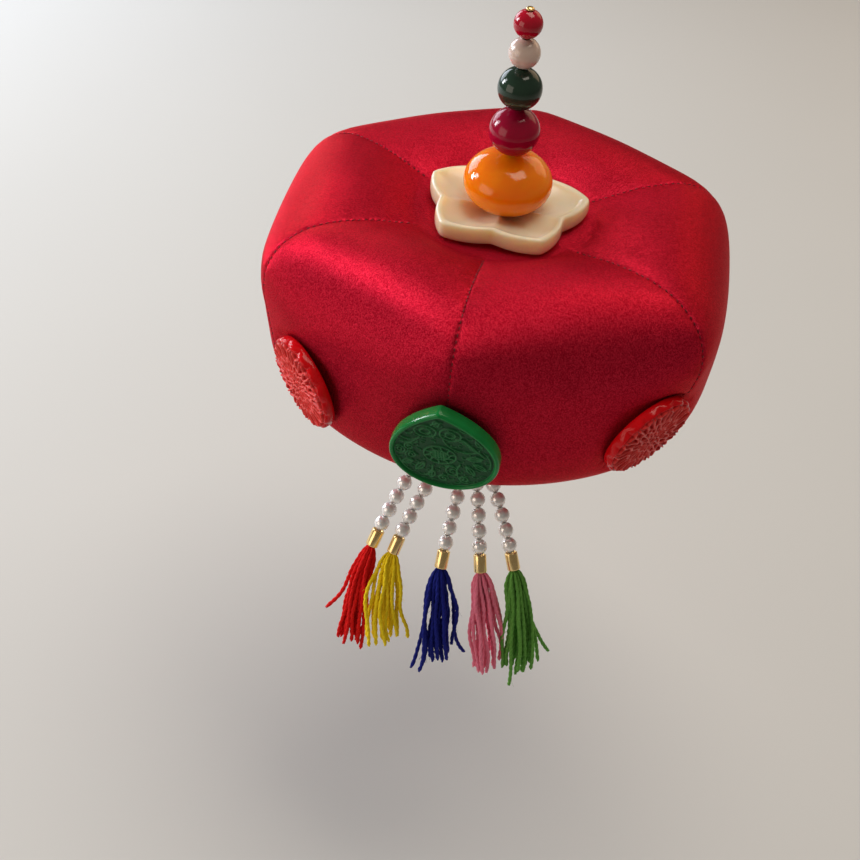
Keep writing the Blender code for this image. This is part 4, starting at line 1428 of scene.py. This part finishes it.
def cast_resin(name, deep, high, rim, settings):
    """Cast resin, with painted shade in the ground, painted highlight on the ridges and a rim tone that
    is partly painted glow.
    """
    material, tree, shader = new_material(name, settings)
    where = add_node(tree, "ShaderNodeTexCoord")
    carved = add_node(tree, "ShaderNodeAttribute", {"attribute_name": "carved"})
    edge = add_node(tree, "ShaderNodeAttribute", {"attribute_name": "rim"})
    drift = add_node(
        tree, "ShaderNodeTexNoise", {"Scale": 130.0, "Detail": 3.0}, {"Vector": where.outputs["Object"]}
    )
    # Painted shade in the ground and painted highlight on the ridges, by how carved a point is.
    painted_shade_and_highlight = add_node(
        tree,
        "ShaderNodeMix",
        {"data_type": "RGBA", 6: linear(deep), 7: linear(high)},
        {0: carved.outputs["Fac"]},
    )
    # The rim's tone is partly a painted glow.
    toned = add_node(
        tree,
        "ShaderNodeMix",
        {"data_type": "RGBA", 7: linear(rim)},
        {0: edge.outputs["Fac"], 6: painted_shade_and_highlight.outputs[2]},
    )
    uneven = add_node(
        tree,
        "ShaderNodeMix",
        {"data_type": "RGBA", "blend_type": "OVERLAY", 0: 0.35},
        {6: toned.outputs[2], 7: drift.outputs[0]},
    )
    tree.links.new(uneven.outputs[2], shader.inputs["Base Color"])
    dull = settings["Roughness"]
    handled = add_node(
        tree,
        "ShaderNodeMapRange",
        {"To Min": dull, "To Max": dull * RIM_GLOSS},
        {"Value": edge.outputs["Fac"]},
    )
    tree.links.new(handled.outputs[0], shader.inputs["Roughness"])
    grit = add_node(
        tree,
        "ShaderNodeTexNoise",
        {"Scale": 1400.0, "Detail": 2.0},
        {"Vector": where.outputs["Object"]},
    )
    cast = add_node(
        tree, "ShaderNodeBump", {"Strength": 0.25, "Distance": 0.0001}, {"Height": grit.outputs[0]}
    )
    tree.links.new(cast.outputs[0], shader.inputs["Normal"])
    return material


green_resin = cast_resin(
    "cast_green_resin",
    "#0A4824",
    "#246C3C",
    "#167E3C",
    {
        "Roughness": 0.40,
        "Specular IOR Level": 0.20,
        "Subsurface Weight": 0.25,
        "Subsurface Radius": (0.001, 0.003, 0.001),
    },
)
red_resin = cast_resin(
    "cast_red_resin",
    "#BC0410",
    "#EC4440",
    "#D80C16",
    {
        "Roughness": 0.40,
        "Specular IOR Level": 0.20,
        "Subsurface Weight": 0.3,
        "Subsurface Radius": (0.003, 0.0008, 0.0006),
    },
)
print("resins", green_resin.name, red_resin.name)

# %% The front plaque
FRONT_THICKNESS = 0.0042
FRONT_SUNK = 0.0009
places, high, rim = plaque_surface(
    drop_outline(), FRONT_THICKNESS, RAISED_RIM, FRONT_SUNK, front_strokes(), 0.0, FRONT_FRAME
)
mesh = bent_sheet("plaque", places, carved=high, rim=rim)
add_piece("plaque_front", mesh, green_resin, "green_resin", "medallion_front")

# %% The side plaques
DISC_THICKNESS = 0.0036
DISC_SUNK = 0.00035
for side, turn, seat in (("left", 10.0, LEFT_FRAME), ("right", 40.0, RIGHT_FRAME)):
    places, high, rim = plaque_surface(
        lobed_outline(), DISC_THICKNESS, SOFT_EDGE, DISC_SUNK, disc_strokes(turn), 1.0, seat
    )
    mesh = bent_sheet("plaque", places, carved=high, rim=rim)
    add_piece(f"plaque_{side}", mesh, red_resin, "red_resin", f"medallion_{side}")

# %% [markdown]
# ## Strings of pearls
# Each string is a waxed thread with five small pearls and a brass ferrule that grips the
# tassel. The solids already hang as the strings hang, so the middles of the pearls are the
# thread's line. A thread is two strands that wind round each other. A strand could be a
# profile swept by hand, but a curve with a round bevel does just that, caps and all.

# %% Lines and twists
ROPE_SIDES = 6


def smooth_line(points, step):
    """Places every step along a smooth curve through points."""
    points = np.array([tuple(p) for p in points])
    at = np.concatenate([[0.0], np.cumsum(np.linalg.norm(np.diff(points, axis=0), axis=1))])
    return spline(at, points, np.linspace(0.0, at[-1], max(2, round(at[-1] / step) + 1)))


def wound_strands(line, out, radius, pitch, phase, count=2):
    """Strands that wind round a line: places and radii, one row of each per strand."""
    run = np.gradient(line, axis=0)
    step = np.linalg.norm(run, axis=1)
    run /= step[:, None]
    side = np.cross(run, (0.31, 0.95, 0.02))
    side /= np.linalg.norm(side, axis=1, keepdims=True)
    other = np.cross(run, side)
    at = np.concatenate([[0.0], np.cumsum(step[1:])])
    strands = []
    for k in range(count):
        angle = (2 * math.pi * (at / pitch + k / count) + phase)[:, None]
        out_ = np.broadcast_to(np.asarray(out, float), at.shape)[:, None]
        places = line + (side * np.cos(angle) + other * np.sin(angle)) * out_
        strands.append((places, np.broadcast_to(np.asarray(radius, float), at.shape)))
    return strands


def rope_mesh(name, strands, sides):
    """Round strands with closed ends, as one mesh, from a bevelled curve."""
    curve = bpy.data.curves.new(name, "CURVE")
    curve.dimensions = "3D"
    curve.bevel_depth = 1.0
    curve.bevel_resolution = max(0, sides // 2 - 2)
    curve.use_fill_caps = True
    for places, radii in strands:
        spline_ = curve.splines.new("POLY")
        spline_.points.add(len(places) - 1)
        flat = np.column_stack([places, np.ones(len(places))]).astype(np.float32)
        spline_.points.foreach_set("co", flat.ravel())
        spline_.points.foreach_set("radius", np.ascontiguousarray(radii, np.float32))
    holder = bpy.data.objects.new(name, curve)
    bpy.context.scene.collection.objects.link(holder)
    graph = bpy.context.evaluated_depsgraph_get()
    mesh = bpy.data.meshes.new_from_object(holder.evaluated_get(graph))
    bpy.data.objects.remove(holder)
    return mesh


# %% Pearl and thread materials
# Seed pearls made of glass, coated with pearl essence: bright and milky. The coats mirror
# part of the room under a thin, very glossy skin, and the tone drifts over 2 mm.
pearl_coat = glassy(
    "pearl_lustre",
    "#FFF2EC",
    "#FFFCFA",
    500.0,
    {
        "Roughness": 0.30,
        "Metallic": 0.35,
        "Specular IOR Level": 0.7,
        "Coat Weight": 1.0,
        "Coat Roughness": 0.10,
        "Coat IOR": 2.0,
        "Sheen Weight": 0.5,
        "Sheen Roughness": 0.4,
        "Subsurface Weight": 0.8,
        "Subsurface Radius": (0.003, 0.0026, 0.0024),
        "Subsurface Scale": 1.0,
    },
)
# Cotton thread, drawn through wax: off-white and dull, with flecks a third of a millimetre
# long where the wax is thick.
waxed, *_ = two_toned(
    "waxed_thread",
    "#BFB09A",
    "#EBE0D0",
    {"Scale": 3000.0},
    {"Roughness": 0.7, "Sheen Weight": 0.2},
)

# %% Pearls, ferrules and threads
PEARL_RADIUS = 0.00232
PEARL_BORE = 0.0012
PEARL_ARCS = 14
PEARL_STEPS = 24
THREAD_STEP = 0.0002
THREAD_OUT = 0.00017
THREAD_PLY = 0.00019
THREAD_TWIST = 0.0011
THREAD_SHORT = 0.0002
FERRULE_STEPS = 32
FERRULE = [
    (0.00135, 0.00255),
    (0.00150, 0.00272),
    (0.00175, 0.00274),
    (0.00190, 0.00262),
    (0.00195, 0.00240),
    (0.00195, -0.00240),
    (0.00190, -0.00262),
    (0.00175, -0.00274),
    (0.00150, -0.00272),
    (0.00135, -0.00255),
]
for number in range(1, 6):
    middles = [middle_of(f"pearl_{number}_{k}") for k in range(1, 6)]
    tube = middle_of(f"tube_{number}")
    low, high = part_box(f"thread_{number}")
    run = (middles[0] - middles[1]).normalized()
    top = middles[0] + run * (high.z - THREAD_SHORT - middles[0].z) / run.z
    points = [top, *middles, tube]
    line = smooth_line(points, THREAD_STEP)
    strands = wound_strands(line, THREAD_OUT, THREAD_PLY, THREAD_TWIST, number)
    mesh = rope_mesh("thread", strands, ROPE_SIDES)
    add_piece(f"waxed_thread_{number}", mesh, waxed, "thread", f"thread_{number}")
    for k in range(1, 6):
        axis = (points[k - 1] - points[k + 1]).normalized()
        matrix = Matrix.Translation(middles[k - 1]) @ upright(axis)
        profile = bead_profile(PEARL_RADIUS, PEARL_RADIUS, PEARL_BORE, PEARL_ARCS)
        mesh = turned_mesh("pearl", profile, PEARL_STEPS, matrix)
        add_piece(f"seed_pearl_{number}_{k}", mesh, pearl_coat, "pearl", f"pearl_{number}_{k}")
    axis = (middles[4] - tube).normalized()
    mesh = turned_mesh("ferrule", FERRULE, FERRULE_STEPS, Matrix.Translation(tube) @ upright(axis))
    add_piece(f"ferrule_{number}", mesh, gold_plate, "brass", f"tube_{number}")

# %% [markdown]
# ## Tassels
# A tassel is a bunch of loosely twisted yarn, gripped by the ferrule and cut off below. The
# strands fan out, some snake, and a few stray from the rest. Each one is two plies wound
# round a line of its own, thin where the ferrule squeezes them. Blender's hair could grow
# such strands, but hair has no thickness of its own in an exported mesh, and yarn has.

# %% Tassel lines
# A string hangs in a curve of this radius, and its first pearl has this lean. A ferrule's
# top and its length say how far down a tassel starts. It turns from its first heading to
# its last over the turn's length.
HANG_RADIUS = 0.100
HANG_LEAN = math.radians(43.9)
FOOT_AT = 0.0214 + 0.0055
TURN_START = 0.0190
TURN_LENGTH = 0.040


def fall_line(foot, first, last, at):
    """Places under a ferrule's foot, along the way that a tassel falls."""
    distance = FOOT_AT + at
    lean = HANG_LEAN - distance / HANG_RADIUS
    share = np.clip((distance - TURN_START) / TURN_LENGTH, 0, 1)
    way = np.radians(first + (last - first) * share)
    down = np.column_stack(
        [np.sin(way) * np.sin(lean), -np.cos(way) * np.sin(lean), -np.cos(lean)]
    )
    steps = np.diff(at)[:, None] * (down[1:] + down[:-1]) / 2
    return np.array(foot) + np.vstack([np.zeros(3), np.cumsum(steps, axis=0)]), down


# %% Tassel strands
STRANDS = 18
YARN_STEP = 0.00034
IN_FERRULE = 0.0018
SNAKES = (0.00045, 0.00022)
# How wide the fan is, as a share, at distances below the ferrule in millimetres.
FAN = (
    (-1.8, 0.13),
    (0.0, 0.17),
    (1.2, 0.32),
    (3.0, 0.45),
    (7.0, 0.58),
    (14.0, 0.74),
    (24.0, 0.89),
    (42.0, 1.0),
)
FAN_AT, FAN_WIDTH = np.hsplit(np.array(FAN), 2)


def strand_line(foot, first, last, reach, side, depth, stray, seed):
    """One strand from inside the ferrule to its tip. Stray is (sideways, power, bulge)."""
    rng = np.random.default_rng(seed)
    at = np.linspace(-IN_FERRULE, reach, round((reach + IN_FERRULE) / YARN_STEP))
    centre, down = fall_line(foot, first, last, at - at[0])
    centre -= down[0] * IN_FERRULE
    across = np.cross((0.0, 0.0, 1.0), down)
    across /= np.linalg.norm(across, axis=1, keepdims=True)
    out = np.cross(down, across)
    share = np.clip(at / reach, 0, 1)
    free = np.clip(at / 0.008, 0, 1)
    fan = spline(FAN_AT[:, 0], FAN_WIDTH, at * 1000)[:, 0]
    x = side * fan + stray[0] * share ** stray[1] + stray[2] * np.sin(math.pi * share) ** 2
    y = depth * fan
    for size in SNAKES:
        x += size * rng.uniform(0.5, 1) * np.sin(share * rng.uniform(4, 13) + rng.uniform(0, 6)) * free
        y += size * rng.uniform(0.5, 1) * np.sin(share * rng.uniform(4, 13) + rng.uniform(0, 6)) * free
    return centre + across * x[:, None] + out * y[:, None], at


FIBRES = 110
FIBRE_RADIUS = 0.000028


def loose_fibres(lines, count, rng):
    """Short bent fibres that stand off the yarn, a twentieth of a millimetre thick."""
    share = np.linspace(0.0, 1.0, 5)[:, None]
    fibres = []
    for _ in range(count):
        line = lines[rng.integers(len(lines))]
        k = int(rng.integers(len(line) // 6, len(line) - 5))
        along_ = (line[k + 4] - line[k]) / np.linalg.norm(line[k + 4] - line[k])
        off = np.cross(along_, rng.normal(size=3))
        off /= np.linalg.norm(off)
        long = rng.uniform(0.0010, 0.0024)
        bend = off * (0.0005 + long * 0.55 * share**1.4) + along_ * long * share
        fibres.append((line[k] + bend, np.full(5, FIBRE_RADIUS)))
    return fibres


# %% Yarn
# Acrylic yarn, loosely spun and dyed bright: dull, a little hairy, with a soft glow at its
# edges where light catches the fluff. Fibres are too fine to show, so the fluff is drawn in
# flecks of about half a millimetre.
def yarn(name, dark, light):
    """The yarn in two tones of one dye."""
    settings = {
        "Roughness": 0.9,
        "Specular IOR Level": 0.15,
        "Sheen Weight": 0.6,
        "Sheen Roughness": 0.5,
        "Sheen Tint": linear(light),
    }
    fuzz = {"Scale": 1800.0, "Detail": 3.0, "Roughness": 0.7}
    material, tree, shader, drift = two_toned(name, dark, light, fuzz, settings)
    fluff = add_node(
        tree, "ShaderNodeBump", {"Strength": 0.5, "Distance": 0.0002}, {"Height": drift.outputs[0]}
    )
    tree.links.new(fluff.outputs[0], shader.inputs["Normal"])
    return material


# %% The five tassels
FERRULE_HALF = 0.00275
PLY_OUT = 0.00016
PLY_RADIUS = 0.00048
YARN_TWIST = 0.0046
# For each: the way that it falls at first and at last, its length, half the fan's width at
# the tips, and two tones. A straying strand has its number from the left, its length as a
# share, how far it strays, how late, and how far it bulges half way down.
TASSELS = (
    ("red", -33.2, -10.0, 0.0350, 0.0054, "#C80C10", "#F42420"),
    ("yellow", -32.4, 36.0, 0.0310, 0.0070, "#FACC00", "#FFEE38"),
    ("blue", -6.4, 41.0, 0.0330, 0.0062, "#0A1060", "#242E94"),
    ("pink", 20.6, 53.4, 0.0345, 0.0070, "#E05A7A", "#FF9AB2"),
    ("green", 41.6, 34.5, 0.0365, 0.0066, "#447E2C", "#78B456"),
)
STRAYS = {
    "red": {0: (0.74, -0.0042, 3, 0.0), 17: (1.06, -0.0004, 2, 0.0)},
    "yellow": {17: (1.02, 0.0014, 3, 0.0), 0: (0.97, 0.0, 2, -0.0008)},
    "blue": {
        0: (0.98, -0.0040, 4, 0.0),
        1: (1.0, -0.0028, 4, 0.0),
        2: (0.96, -0.0014, 4, 0.0),
        17: (1.0, 0.0040, 5, 0.0),
        16: (0.82, 0.0, 2, 0.0016),
    },
    "pink": {17: (1.0, 0.0012, 2, 0.0002)},
    "green": {17: (0.93, 0.0064, 4, 0.0), 16: (0.96, 0.0020, 4, 0.0), 2: (1.08, 0.0, 2, 0.0)},
}
for number, (name, first, last, reach, half, dark, light) in enumerate(TASSELS, 1):
    tube = middle_of(f"tube_{number}")
    axis = (middle_of(f"pearl_{number}_5") - tube).normalized()
    foot = tube - axis * FERRULE_HALF
    rng = np.random.default_rng(20 + number)
    turns = GOLDEN_TURN * np.arange(STRANDS) + number
    out = np.sqrt((np.arange(STRANDS) + 0.5) / STRANDS)
    seats = sorted(zip(half * out * np.cos(turns), half * 0.5 * out * np.sin(turns)))
    strands, lines = [], []
    for k, (side, depth) in enumerate(seats):
        part, *stray = STRAYS[name].get(k, (rng.uniform(0.90, 1.0), 0.0, 2, 0.0))
        line, at = strand_line(foot, first, last, reach * part, side, depth, stray, 100 * number + k)
        squeeze = 0.45 + 0.55 * np.clip(at / 0.004, 0, 1)
        tip = np.clip((at[-1] - at) / 0.0006, 0.6, 1)
        radius = PLY_RADIUS * squeeze * tip
        strands += wound_strands(line, PLY_OUT * squeeze, radius, YARN_TWIST, k)
        lines.append(line)
    strands += loose_fibres(lines, FIBRES, rng)
    mesh = rope_mesh("tassel", strands, ROPE_SIDES)
    material = yarn(f"{name}_yarn", dark, light)
    add_piece(f"yarn_tassel_{name}", mesh, material, f"yarn_{name}", f"tassel_{name}")

# %% Close
low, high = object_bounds()
